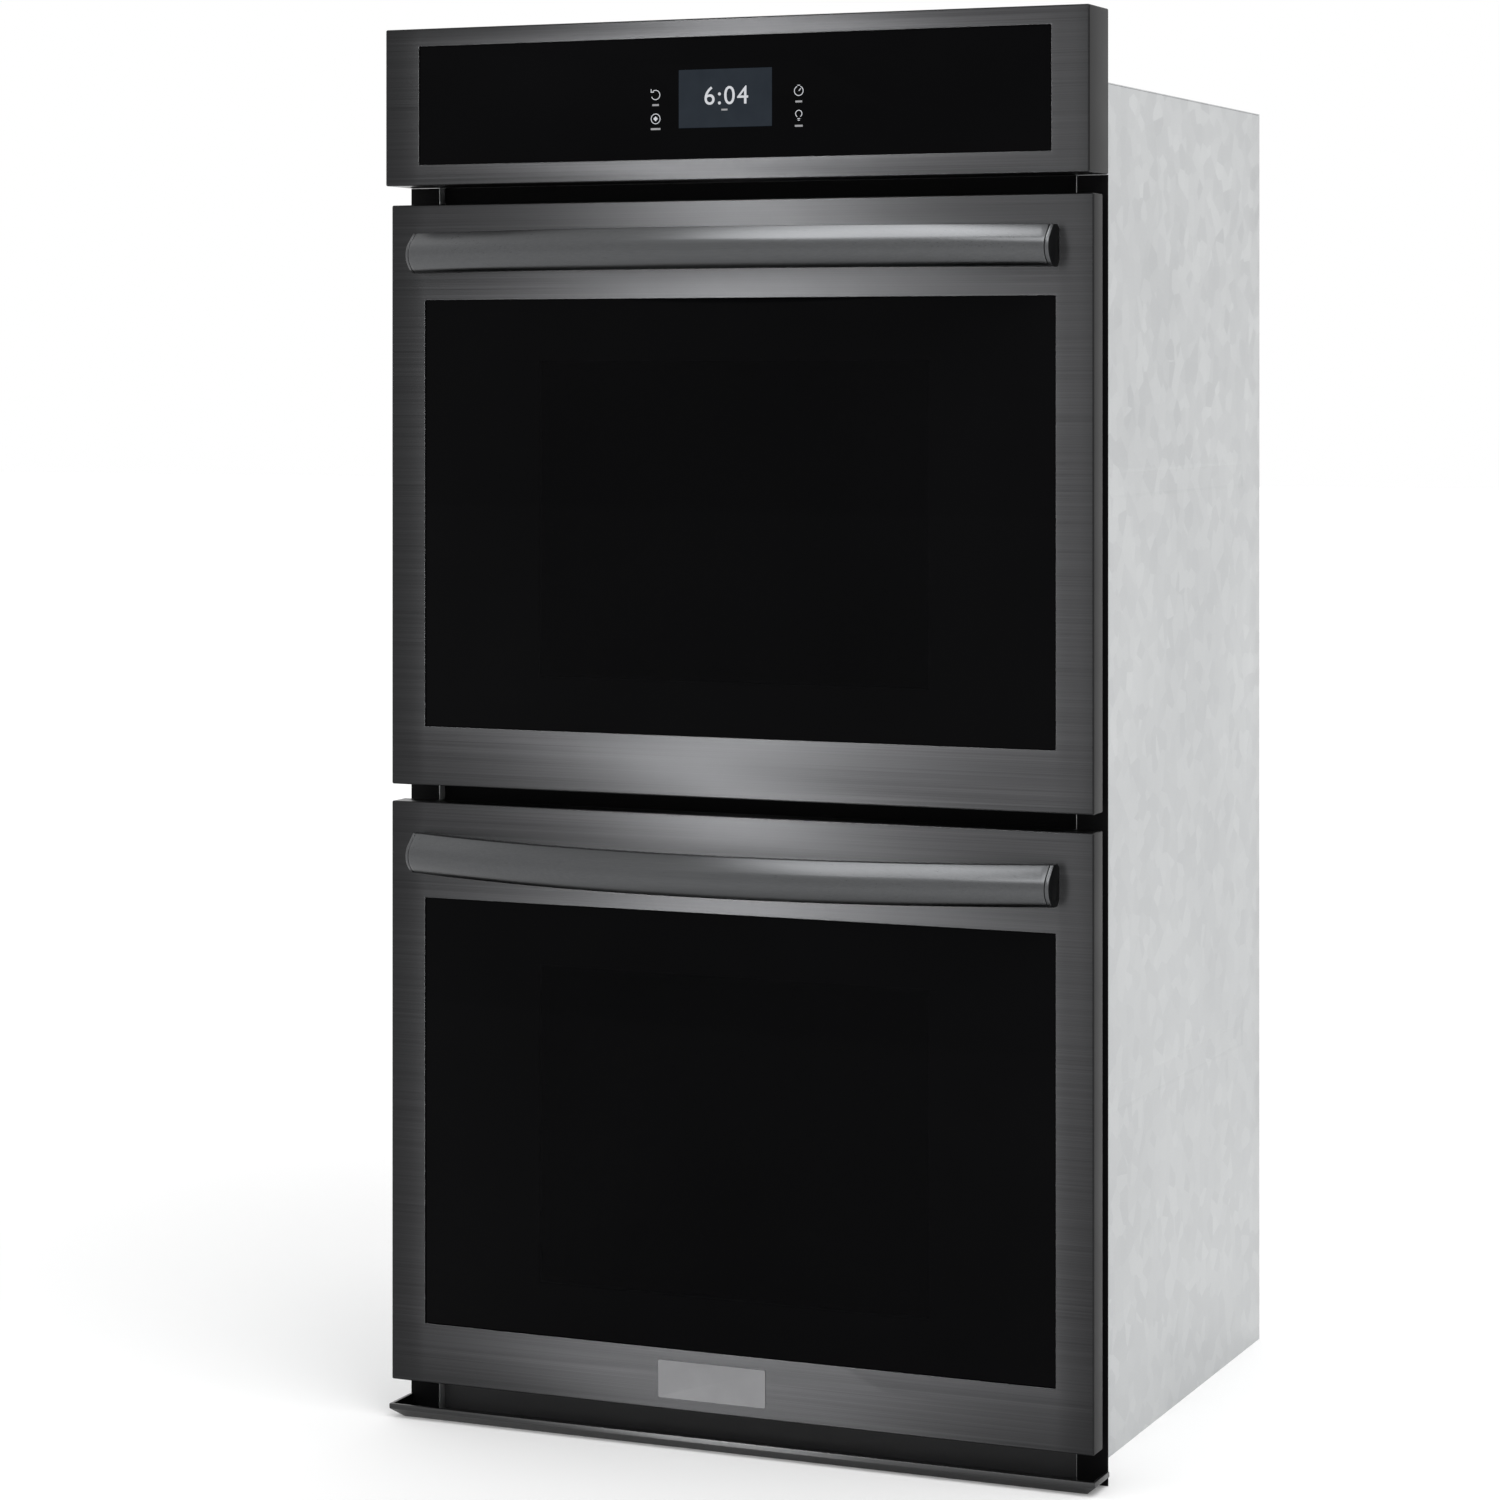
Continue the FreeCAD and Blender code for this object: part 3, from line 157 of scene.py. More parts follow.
# ---- finishes ----
def brushedFinish(name, dark, light, roughness, grain=(3, 900, 900), depth=0.00004, metallic=1.0):
    finish, tree, shader = newFinish(name, {"Metallic": metallic, "Anisotropic": 0.6,
                                            "Anisotropic Rotation": 0.25})
    lines = noise(tree, place(tree, grain), 1.0, 4, 0.65)
    coarse = noise(tree, place(tree, (grain[0] * 0.4, grain[1] * 0.22, grain[2] * 0.22)), 1.0, 2)
    clouds = noise(tree, place(tree), 3.5, 3)
    mixed = lines * 0.8 + coarse * 0.2
    streaks = ramp(tree, mixed, ((0.32, 0.0), (0.68, 1.0)))
    feed(tree, shader.inputs["Base Color"], blendColour(tree, streaks, dark, light))
    feed(tree, shader.inputs["Roughness"], roughness + (mixed - 0.5) * 0.16 + (clouds - 0.5) * 0.08)
    feed(tree, shader.inputs["Normal"], bump(tree, mixed, 0.35, depth))
    return finish


def glossFinish(name, colour, roughness=0.05, level=0.3, smear=0.03):
    finish, tree, shader = newFinish(name, {"Metallic": 0.0, "IOR": 1.4, "Specular IOR Level": level})
    clouds = noise(tree, place(tree), 6.0, 4)
    fine = noise(tree, place(tree), 900.0, 2)
    brighter = [value * 1.7 + 0.0006 for value in colour]
    feed(tree, shader.inputs["Base Color"], blendColour(tree, clouds, colour, brighter))
    feed(tree, shader.inputs["Roughness"], roughness + clouds * smear + fine * 0.01)
    return finish, tree, shader


def paintFinish(name, colour, roughness, level=0.4, grain=420.0, depth=0.00005):
    finish, tree, shader = newFinish(name, {"Specular IOR Level": level})
    peel = noise(tree, place(tree), grain, 3)
    clouds = noise(tree, place(tree), 9.0, 3)
    worn = [min(1, value * 1.8 + 0.001) for value in colour]
    feed(tree, shader.inputs["Base Color"], blendColour(tree, clouds * 0.6 + peel * 0.3, colour, worn))
    feed(tree, shader.inputs["Roughness"], roughness + (clouds - 0.5) * 0.14)
    feed(tree, shader.inputs["Normal"], bump(tree, peel, 0.35, depth))
    return finish


def galvanisedFinish(name):
    finish, tree, shader = newFinish(name, {"Metallic": 0.85})
    where = place(tree)
    crystals = node(tree, "ShaderNodeTexVoronoi", {"feature": "F1"}, {"Vector": where, "Scale": 55.0}, 1)
    crystalGrey = node(tree, "ShaderNodeRGBToBW", None, {"Color": crystals})
    stains = noise(tree, where, 4.0, 5)
    fine = noise(tree, where, 600.0, 2)
    tone = crystalGrey * 0.35 + stains * 0.5 + fine * 0.15
    feed(tree, shader.inputs["Base Color"], blendColour(tree, tone, (0.36, 0.37, 0.38), (0.68, 0.69, 0.69)))
    feed(tree, shader.inputs["Roughness"], 0.38 + crystalGrey * 0.16 + (stains - 0.5) * 0.1)
    feed(tree, shader.inputs["Normal"], bump(tree, crystalGrey + fine * 0.4, 0.12, 0.0001))
    return finish


def enamelFinish(name):
    finish, tree, shader = newFinish(name, {"Specular IOR Level": 0.55, "Coat Weight": 0.25,
                                            "Coat Roughness": 0.1})
    where = place(tree)
    specks = node(tree, "ShaderNodeTexVoronoi", {"feature": "F1"}, {"Vector": where, "Scale": 420.0})
    sizes = noise(tree, where, 170.0, 2)
    dots = (specks + sizes * 0.35) < 0.30
    clouds = noise(tree, where, 5.0, 3)
    ground = blendColour(tree, clouds, (0.012, 0.014, 0.024), (0.028, 0.032, 0.05))
    feed(tree, shader.inputs["Base Color"], blendColour(tree, dots, ground, (0.30, 0.33, 0.40)))
    feed(tree, shader.inputs["Roughness"], 0.2 + clouds * 0.12)
    feed(tree, shader.inputs["Normal"], bump(tree, noise(tree, where, 60.0, 2), 0.12, 0.0004))
    return finish


def metalFinish(name, colour, roughness, streak=(300, 300, 30), metallic=1.0):
    finish, tree, shader = newFinish(name, {"Metallic": metallic})
    lines = noise(tree, place(tree, streak), 1.0, 4)
    clouds = noise(tree, place(tree), 14.0, 3)
    darker = [value * 0.6 for value in colour]
    feed(tree, shader.inputs["Base Color"], blendColour(tree, lines * 0.5 + clouds * 0.5, darker, colour))
    feed(tree, shader.inputs["Roughness"], roughness + (clouds - 0.5) * 0.18 + (lines - 0.5) * 0.08)
    feed(tree, shader.inputs["Normal"], bump(tree, lines, 0.2, 0.00005))
    return finish


def clearFinish(name, tint, alpha, roughness=0.04):
    finish, tree, shader = newFinish(name, {"IOR": 1.45, "Specular IOR Level": 0.4})
    smears = noise(tree, place(tree), 8.0, 4)
    feed(tree, shader.inputs["Base Color"], blendColour(tree, smears, tint, [value * 1.3 for value in tint]))
    feed(tree, shader.inputs["Alpha"], alpha + smears * 0.04)
    feed(tree, shader.inputs["Roughness"], roughness + smears * 0.05)
    return finish


def windowFinish(name, window):  # black-printed pane with a tinted middle and a dotted edge
    finish, tree, shader = glossFinish(name, [0.0012, 0.0012, 0.0014], 0.035, window["level"])
    where = place(tree)
    across = abs(axisOf(tree, where, "X"))
    up = abs(axisOf(tree, where, "Z") - window["middle"])
    outside = node(tree, "ShaderNodeMath", {"operation": "MAXIMUM"},
                   {0: across - window["half"], 1: up - window["rise"]})
    dots = node(tree, "ShaderNodeTexVoronoi", {"feature": "F1"},
                {"Vector": where, "Scale": 420.0, "Randomness": 0.0})
    printed = (outside + (0.5 - dots) * window["fade"]) > 0.0
    feed(tree, shader.inputs["Alpha"], window["tint"] + printed * (1.0 - window["tint"]))
    return finish


def wovenFinish(name, colour, scale):
    finish, tree, shader = newFinish(name, {"Sheen Weight": 0.3, "Specular IOR Level": 0.2})
    where = place(tree)
    strands = node(tree, "ShaderNodeTexWave", {"bands_direction": "DIAGONAL"},
                   {"Vector": where, "Scale": scale, "Distortion": 1.5, "Detail": 2.0}, 1)
    crossing = node(tree, "ShaderNodeTexWave", {"bands_direction": "DIAGONAL"},
                    {"Vector": place(tree, (-1, 1, 1)), "Scale": scale, "Distortion": 1.5, "Detail": 2.0}, 1)
    weave = strands * crossing
    feed(tree, shader.inputs["Base Color"], blendColour(tree, weave, [v * 0.45 for v in colour], colour))
    feed(tree, shader.inputs["Roughness"], 0.75 + weave * 0.15)
    feed(tree, shader.inputs["Normal"], bump(tree, weave, 0.7, 0.0006))
    return finish


print("finishes")
blackSteel = brushedFinish("black_stainless", (0.0184, 0.0186, 0.0192), (0.0296, 0.0299, 0.0309), 0.34,
                           (2.2, 1500, 1500))
# the trim's black stainless made lighter than black_stainless: painted highlight on the trim's leaning face
trimSteelPaintedHighlight = brushedFinish("trim_stainless", (0.036, 0.0363, 0.037), (0.054, 0.0543, 0.055), 0.36,
                           (2.2, 1500, 1500))
handleSteel = brushedFinish("handle_steel", (0.080, 0.082, 0.085), (0.099, 0.101, 0.104), 0.30,
                            (1.2, 1300, 1300), 0.00001)
blackPaint = paintFinish("black_paint", (0.013, 0.013, 0.014), 0.40)
# the base pan's black paint made lighter than black_paint: painted light on the band below the lower door
basePaintPaintedLight = paintFinish("base_paint", (0.026, 0.026, 0.027), 0.42)
# black paint made darker and less glossy than black_paint for the side flanges and vent grilles: painted
# shade in the gaps beside and between the doors
shadePaintBlack = paintFinish("deep_paint", (0.002, 0.002, 0.0022), 0.62, 0.06)
# near-black paint for the skins' side folds: painted shade standing in for their dark reflections
foldPaintedShade = paintFinish("fold_paint", (0.004, 0.004, 0.0042), 0.45, 0.15)
galvanised = galvanisedFinish("galvanised")
enamel = enamelFinish("speckled_enamel")
chromeWire = metalFinish("chrome_wire", (0.78, 0.78, 0.80), 0.14)
elementSheath = metalFinish("element_sheath", (0.13, 0.12, 0.115), 0.5, metallic=0.6)
plainSteel = metalFinish("plain_steel", (0.5, 0.5, 0.5), 0.32)
pressedMetal = metalFinish("pressed_metal", (0.66, 0.66, 0.66), 0.35)
glassWool = wovenFinish("glass_wool", (0.78, 0.72, 0.5), 90.0)
sealWeave = wovenFinish("seal_weave", (0.16, 0.16, 0.165), 260.0)
ceramicWhite = paintFinish("ceramic_white", (0.78, 0.76, 0.70), 0.35)
boardGreen = paintFinish("board_green", (0.02, 0.12, 0.06), 0.35, grain=1200.0)
plateMetal = metalFinish("plate_metal", (0.37, 0.37, 0.38), 0.42, (40, 40, 40))
lampGlass = clearFinish("lamp_glass", (0.75, 0.75, 0.70), 0.35)
paneGlass = clearFinish("pane_glass", (0.02, 0.024, 0.024), 0.16)
revealMetal = paintFinish("reveal_metal", (0.16, 0.16, 0.165), 0.4)
panelGlass = glossFinish("panel_glass", [0.0012, 0.0012, 0.0014], 0.035, 0.03)[0]

finishOf = {
    "base_pan": basePaintPaintedLight, "chassis_side_left": galvanised, "chassis_side_right": galvanised,
    "chassis_back": galvanised, "chassis_top": galvanised, "duct_decks": blackPaint,
    "side_flange_left": shadePaintBlack, "side_flange_right": shadePaintBlack, "bottom_trim": trimSteelPaintedHighlight,
    "vent_grilles": shadePaintBlack, "chassis_screws": plainSteel, "control_panel_frame": blackSteel,
    "control_glass": panelGlass, "display_module": panelGlass, "circuit_boards": boardGreen,
    "junction_box": galvanised, "blower_housing": galvanised, "blower_motor": plainSteel,
    "blower_wheel": pressedMetal, "cavity_insulation": glassWool, "bake_elements": elementSheath,
    "broil_elements": elementSheath, "convection_elements": elementSheath, "fan_covers": enamel,
    "convection_motors": plainSteel, "lamp_bulbs": ceramicWhite, "lamp_lenses": lampGlass,
    "temperature_probes": plainSteel, "door_gaskets": sealWeave, "hinge_receivers": plainSteel,
    "latch_motors": plainSteel, "name_plate": plateMetal,
}
clearPart = {"half": 190 * mm, "foot": 104 * mm, "head": 145 * mm, "fade": 10 * mm, "tint": 0.88,
             "level": 0.035}
for oven in ("upper", "lower"):
    skinLow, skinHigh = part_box(oven + "_door_skin")
    foot = skinLow.z + clearPart["foot"]
    head = skinHigh.z - clearPart["head"]
    window = dict(clearPart, middle=(foot + head) / 2, rise=(head - foot) / 2)
    finishOf.update({
        oven + "_cavity": enamel, oven + "_fan": pressedMetal, oven + "_latch_hook": plainSteel,
        oven + "_rack_low": chromeWire, oven + "_rack_high": chromeWire, oven + "_door_skin": blackSteel,
        oven + "_door_outer_glass": windowFinish(oven + "_window_glass", window),
        oven + "_door_liner": enamel,
        oven + "_door_window_frame": revealMetal, oven + "_door_glass_pack": paneGlass,
        oven + "_door_hinge_arms": plainSteel, oven + "_handle_bar": handleSteel,
        oven + "_handle_ends": handleSteel, oven + "_handle_screws": plainSteel})


def dress(thing, finish):
    thing.data.materials.clear()
    thing.data.materials.append(finish)


for name, finish in finishOf.items():
    dress(nodes[name], finish)


# ---- modelling helpers ----
def clearSelection():
    if bpy.context.object and bpy.context.object.mode != "OBJECT":
        bpy.ops.object.mode_set(mode="OBJECT")
    bpy.ops.object.select_all(action="DESELECT")


def only(thing):
    clearSelection()
    thing.select_set(True)
    bpy.context.view_layer.objects.active = thing


def settle(name):  # the new primitive keeps its place in its mesh
    made = bpy.context.object
    made.name = made.data.name = name
    bpy.ops.object.transform_apply(location=True, rotation=True, scale=True)
    return made


def startBlock(name, low, high):
    clearSelection()
    low, high = Vector(low), Vector(high)
    bpy.ops.mesh.primitive_cube_add(size=1, location=(low + high) / 2, scale=high - low)
    return settle(name)


def startRod(name, start, end, radius, sides=24):
    clearSelection()
    start, end = Vector(start), Vector(end)
    run = end - start
    turn = run.to_track_quat("Z", "Y").to_euler()
    bpy.ops.mesh.primitive_cylinder_add(vertices=sides, radius=radius, depth=run.length,
                                        location=(start + end) / 2, rotation=turn)
    return settle(name)


def editing(thing, kind, test):  # into edit mode with the chosen faces or edges selected
    only(thing)
    bpy.ops.object.mode_set(mode="EDIT")
    bpy.ops.mesh.select_mode(type=kind)
    bpy.ops.mesh.select_all(action="DESELECT")
    work = bmesh.from_edit_mesh(thing.data)
    for item in (work.faces if kind == "FACE" else work.edges):
        if test(item):
            item.select_set(True)
    bmesh.update_edit_mesh(thing.data)


def done():
    bpy.ops.object.mode_set(mode="OBJECT")


def planeCut(thing, spot, normal, keepInner=None):  # a plane cut; keepInner drops one side
    editing(thing, "FACE", lambda face: True)
    bpy.ops.mesh.bisect(plane_co=spot, plane_no=normal, use_fill=keepInner is not None,
                        clear_outer=keepInner is True, clear_inner=keepInner is False)
    done()


def modify(thing, kind, settings):
    only(thing)
    added = thing.modifiers.new(kind.lower(), kind)
    for key, value in settings.items():
        setattr(added, key, value)
    bpy.ops.object.modifier_apply(modifier=added.name)


def soften(thing, width, segments=3, angle=30):
    modify(thing, "BEVEL", {"width": width, "segments": segments, "limit_method": "ANGLE",
                            "angle_limit": radians(angle), "harden_normals": False})
    smooth(thing)


def smooth(thing, angle=35):
    only(thing)
    bpy.ops.object.shade_smooth_by_angle(angle=radians(angle))


def outward(thing):
    editing(thing, "FACE", lambda face: True)
    bpy.ops.mesh.remove_doubles(threshold=hair)
    bpy.ops.mesh.normals_make_consistent(inside=False)
    done()


def together(name, things):
    clearSelection()
    for thing in things:
        thing.select_set(True)
    bpy.context.view_layer.objects.active = things[0]
    bpy.ops.object.join()
    whole = bpy.context.object
    whole.name = whole.data.name = name
    return whole


def finishPiece(thing, finish, body, slotName, *replaced):
    dress(thing, finish)
    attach(thing, body)
    if replaced:
        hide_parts(*replaced)
    return thing


def cutOut(thing, cutters):
    for cutter in cutters:
        modify(thing, "BOOLEAN", {"operation": "DIFFERENCE", "solver": "EXACT", "object": cutter})
        bpy.data.objects.remove(cutter)


# a folded pan with a window: low and high corners, window as (x0, x1, z0, z1), open side -1 front or 1 back
def foldedPan(name, low, high, window, sheetThick, fold, openSide):
    pan = startBlock(name, low, high)
    for x in window[:2]:
        planeCut(pan, (x, 0, 0), (1, 0, 0))
    for z in window[2:]:
        planeCut(pan, (0, 0, z), (0, 0, 1))
    midX, midZ = (window[0] + window[1]) / 2, (window[2] + window[3]) / 2

    def corner(edge):  # the pan's outer folds, except at its open side
        ends = [vert.co for vert in edge.verts]
        openY = high[1] if openSide > 0 else low[1]
        closedY = low[1] if openSide > 0 else high[1]
        along = abs(ends[0].y - ends[1].y) > hair
        rim = all(abs(end.y - closedY) < hair for end in ends) and edge.calc_face_angle(0) > 0.5
        upright = along and edge.calc_face_angle(0) > 0.5
        return (rim or upright) and not all(abs(end.y - openY) < hair for end in ends)

    def opening(face):
        centre = face.calc_center_median()
        openY = high[1] if openSide > 0 else low[1]
        middle = abs(centre.x - midX) < 10 * hair and abs(centre.z - midZ) < 10 * hair
        return abs(centre.y - openY) < hair or (middle and abs(face.normal.y) > 0.9)

    editing(pan, "FACE", opening)
    bpy.ops.mesh.delete(type="FACE")
    done()
    editing(pan, "EDGE", corner)
    bpy.ops.mesh.bevel(offset=fold, segments=4, affect="EDGES")
    done()
    modify(pan, "SOLIDIFY", {"thickness": sheetThick, "offset": -1.0, "use_even_offset": True})
    soften(pan, sheetThick * 0.4, 3, 50)
    return pan


def paintSides(thing, finish):  # the folded ends, left and right, in near-black paint: painted shade for the dark sides of the steel folds
    thing.data.materials.append(finish)
    editing(thing, "FACE", lambda face: abs(face.normal.x) > 0.7)
    thing.active_material_index = 1
    bpy.ops.object.material_slot_assign()
    done()


# ---- door skins and the panel's frame ----
print("folded skins")
skin = {"side": 34.8 * mm, "top": 88.4 * mm, "bottom": 54.8 * mm, "sheet": 1.2 * mm, "fold": 1.6 * mm,
        "notchLow": 302.2 * mm, "notchHigh": 311.0 * mm, "notchFront": 32.6 * mm, "notchTop": 3 * mm,
        "over": 2 * mm}
panel = {"side": 34.8 * mm, "top": 16.4 * mm, "bottom": 19.0 * mm, "sheet": 1.2 * mm, "fold": 1.6 * mm}

for oven in ("upper", "lower"):
    low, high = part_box(oven + "_door_skin")
    window = (low.x + skin["side"], high.x - skin["side"], low.z + skin["bottom"], high.z - skin["top"])
    pan = foldedPan(oven + "_skin", low, high, window, skin["sheet"], skin["fold"], 1)
    over = skin["over"]
    notches = []
    for side in (-1, 1):  # where the hinge arms pass under the skin
        x0, x1 = sorted((side * skin["notchLow"], side * skin["notchHigh"]))
        notches.append(startBlock("notch", (x0, -skin["notchFront"], low.z - over),
                                  (x1, high.y + over, low.z + skin["notchTop"])))
    cutOut(pan, notches)
    finishPiece(pan, blackSteel, oven + "_door", "black_stainless", oven + "_door_skin")
    paintSides(pan, foldPaintedShade)

low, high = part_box("control_panel_frame")
window = (low.x + panel["side"], high.x - panel["side"], low.z + panel["bottom"], high.z - panel["top"])
pan = foldedPan("panel_frame", low, high, window, panel["sheet"], panel["fold"], 1)
finishPiece(pan, blackSteel, "root", "black_stainless", "control_panel_frame")
paintSides(pan, foldPaintedShade)

# ---- handles ----
print("handles")
handle = {"half": 312 * mm, "height": 37 * mm, "depth": 28 * mm, "bow": 62 * mm, "stand": 1 * mm,
          "drop": 45.5 * mm, "cap": 3 * mm, "seam": 0.5 * mm, "post": 8 * mm, "postInset": 24 * mm,
          "postReach": 14 * mm, "spare": radians(1.5)}


def arcThrough(first, middle, last, steps):  # points on the circle through three points, ends included
    (ax, ay), (bx, by), (cx, cy) = first, middle, last
    d = 2 * (ax * (by - cy) + bx * (cy - ay) + cx * (ay - by))
    ux = ((ax**2 + ay**2) * (by - cy) + (bx**2 + by**2) * (cy - ay) + (cx**2 + cy**2) * (ay - by)) / d
    uy = ((ax**2 + ay**2) * (cx - bx) + (bx**2 + by**2) * (ax - cx) + (cx**2 + cy**2) * (bx - ax)) / d
    centre = Vector((ux, uy))
    start, end = Vector(first) - centre, Vector(last) - centre
    turn = start.angle_signed(end)
    return [centre + Matrix.Rotation(-turn * k / steps, 2) @ start for k in range(steps + 1)]


def sectionOutline():  # (out from the bar's back, up from its middle)
    d, h = handle["depth"], handle["height"] / 2
    front = arcThrough((0.88 * d, 0.42 * h), (d, -0.10 * h), (0.86 * d, -0.62 * h), 7)
    under = arcThrough((0.86 * d, -0.62 * h), (0.66 * d, -0.90 * h), (0.42 * d, -h), 5)
    points = [(0, -0.72 * h), (0, 0.80 * h), (0.16 * d, h), (0.50 * d, h)]
    return points + [tuple(p) for p in front] + [tuple(p) for p in under[1:]] + [(0.16 * d, -h)]


def spunBar(name, back, z):  # the section swept round the bow, longer than the handle
    outline = sectionOutline()
    radius = (handle["half"]**2 + handle["bow"]**2) / (2 * handle["bow"])
    reach = asin(handle["half"] / (radius - handle["depth"])) + handle["spare"]
    clearSelection()
    bpy.ops.mesh.primitive_circle_add(vertices=len(outline), radius=0.02, fill_type="NGON")
    bar = settle(name)
    pivot = Vector((0, back + radius, z))
    for vert, (out, up) in zip(bar.data.vertices, outline):
        arm = Vector((0, -(radius + out), up))
        vert.co = pivot + Matrix.Rotation(-reach, 3, "Z") @ arm
    editing(bar, "FACE", lambda face: True)
    bpy.ops.mesh.spin(steps=56, angle=-2 * reach, center=pivot, axis=(0, 0, 1))
    done()
    outward(bar)
    return bar


def handleSlice(name, back, z, x0, x1):
    bar = spunBar(name, back, z)
    planeCut(bar, (x1, 0, 0), (1, 0, 0), True)
    planeCut(bar, (x0, 0, 0), (1, 0, 0), False)
    outward(bar)
    soften(bar, 0.9 * mm, 3, 24)
    return bar


for oven in ("upper", "lower"):
    low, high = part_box(oven + "_door_skin")
    z = high.z - handle["drop"]
    back = low.y - handle["stand"] - handle["bow"]
    half, cap, seam = handle["half"], handle["cap"], handle["seam"]
    bar = handleSlice(oven + "_bar", back, z, -(half - cap - seam), half - cap - seam)
    finishPiece(bar, handleSteel, oven + "_door", "black_stainless", oven + "_handle_bar")
    ends = []
    for side in (-1, 1):
        x0, x1 = sorted((side * (half - cap), side * half))
        ends.append(handleSlice("cap", back, z, x0, x1))
        postX = side * (half - handle["postInset"])
        postFront = low.y - handle["stand"] - handle["postReach"]
        post = startRod("post", (postX, low.y, z), (postX, postFront, z), handle["post"], 48)
        soften(post, 0.8 * mm)
        ends.append(post)
    finishPiece(together(oven + "_ends", ends), handleSteel, oven + "_door", "black_stainless",
                oven + "_handle_ends")

# ---- display and touch marks ----
print("display")
display = {"left": -68.2 * mm, "right": 71.5 * mm, "rows": (67.6 * mm, 89.1 * mm),
           "labels": (76.7 * mm, 98.3 * mm), "labelHeight": 1.7 * mm, "ring": 4.2 * mm, "line": 0.34 * mm,
           "proud": 0.15 * mm, "digits": 23.3 * mm, "digitsAt": (1.2 * mm, 70.6 * mm), "spacing": 1.12,
           "barAt": (-0.5 * mm, 82.5 * mm), "barSize": (6 * mm, 1.6 * mm), "edge": 5 * mm, "inset": 4 * mm,
           "sunk": 0.02 * mm}


def litFinish(name, dark, light, strength, scale):
    finish, tree, shader = newFinish(name, {"Specular IOR Level": 0.1, "Roughness": 0.15,
                                            "Emission Strength": strength})
    cells = noise(tree, place(tree), scale, 2)
    colour = blendColour(tree, cells, dark, light)
    feed(tree, shader.inputs["Base Color"], blendColour(tree, cells, (0.004,) * 3, (0.006,) * 3))
    feed(tree, shader.inputs["Emission Color"], colour)
    return finish


screenLight = litFinish("screen_light", (0.0075, 0.0125, 0.0195), (0.0125, 0.0190, 0.0280), 1.0, 60.0)
whiteMark = litFinish("white_mark", (0.60, 0.62, 0.66), (0.80, 0.81, 0.84), 0.9, 400.0)
greyMark = litFinish("grey_mark", (0.30, 0.30, 0.31), (0.44, 0.44, 0.45), 0.9, 400.0)
screenLow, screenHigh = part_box("display_module")
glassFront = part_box("control_glass")[0].y
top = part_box("control_panel_frame")[1].z
edge, inset = display["edge"], display["inset"]
screen = startBlock("screen", (screenLow.x + edge, glassFront - display["sunk"], screenLow.z + inset),
                    (screenHigh.x - edge, screenHigh.y, screenHigh.z - inset))
soften(screen, 0.5 * mm)
finishPiece(screen, screenLight, "root", "display", "display_module")


def flatMark(name, thing, finish):
    finishPiece(thing, finish, "root", "display")
    thing.name = name


def ringMark(x, z, radius, start=0, sweep=360):
    clearSelection()
    bpy.ops.mesh.primitive_torus_add(major_segments=48, minor_segments=6, major_radius=radius,
                                     minor_radius=display["line"], location=(x, glassFront, z),
                                     rotation=(radians(90), 0, 0))
    ring = settle("ring")
    if sweep < 360:
        def gone(face):
            centre = face.calc_center_median()
            here = degrees(Vector((centre.x - x, centre.z - z)).angle_signed(Vector((1, 0)), 0)) % 360
            return (here - start) % 360 > sweep

        editing(ring, "FACE", gone)
        bpy.ops.mesh.delete(type="FACE")
        done()
        editing(ring, "EDGE", lambda edge: edge.is_boundary)
        bpy.ops.mesh.fill_holes(sides=0)
        done()
    smooth(ring)
    return ring


def barMark(x, z, width, height, turn=0):
    clearSelection()
    bpy.ops.mesh.primitive_cube_add(size=1, location=(x, glassFront, z), rotation=(0, radians(turn), 0),
                                    scale=(width, 2 * display["proud"], height))
    bar = settle("bar")
    soften(bar, min(width, height) * 0.25, 2)
    return bar


thin = 2 * display["line"]
backRow, startRow = (top - row for row in display["rows"])
backLabel, startLabel = (top - row for row in display["labels"])
left, right, ring = display["left"], display["right"], display["ring"]
# an icon's ring is (rise, radius, start, sweep), its bars (across, up, width, height, turn)
icons = {
    "back": {"spot": (left, backRow), "ring": (0, ring, 200, 290),
             "bars": ((-3.2 * mm, 2.6 * mm, 3.2 * mm, thin, 0), (-4.4 * mm, 3.8 * mm, thin, 3.2 * mm, 0))},
    "start": {"spot": (left, startRow), "ring": (0, ring * 1.05, 0, 360),
              "bars": ((0, 0, 3.2 * mm, 3.2 * mm, 45),)},
    "timer": {"spot": (right, backRow), "ring": (0, ring, 110, 320),
              "bars": ((0, 4.9 * mm, 2.6 * mm, thin, 0), (1 * mm, 1 * mm, thin, 3 * mm, 40))},
    "light": {"spot": (right, startRow), "ring": (1.2 * mm, ring * 0.72, 300, 300),
              "bars": ((0, -3.2 * mm, 2.6 * mm, thin, 0), (0, -4.6 * mm, 2.0 * mm, thin, 0))},
}
for name, icon in icons.items():
    x, z = icon["spot"]
    rise, radius, start, sweep = icon["ring"]
    strokes = [ringMark(x, z + rise, radius, start, sweep)]
    for across, up, width, height, turn in icon["bars"]:
        strokes.append(barMark(x + across, z + up, width, height, turn))
    flatMark("mark_" + name, together(name, strokes), whiteMark)

labels = {"a": (left, backLabel, 6.5 * mm), "b": (left, startLabel, 9.5 * mm),
          "c": (right, backLabel - 0.4 * mm, 6.5 * mm), "d": (right, startLabel - 0.4 * mm, 7.5 * mm)}
for name, (x, z, width) in labels.items():
    flatMark("label_" + name, barMark(x, z, width, display["labelHeight"]), greyMark)


def addDigits(words, x, z, size, name):
    clearSelection()
    bpy.ops.object.text_add(location=(x, glassFront - display["sunk"], z), rotation=(radians(90), 0, 0))
    written = bpy.context.object
    written.data.body, written.data.size = words, size
    written.data.align_x, written.data.align_y = "CENTER", "CENTER"
    written.data.extrude, written.data.space_character = display["proud"], display["spacing"]
    bpy.ops.object.convert(target="MESH")
    flatMark(name, settle(name), whiteMark)


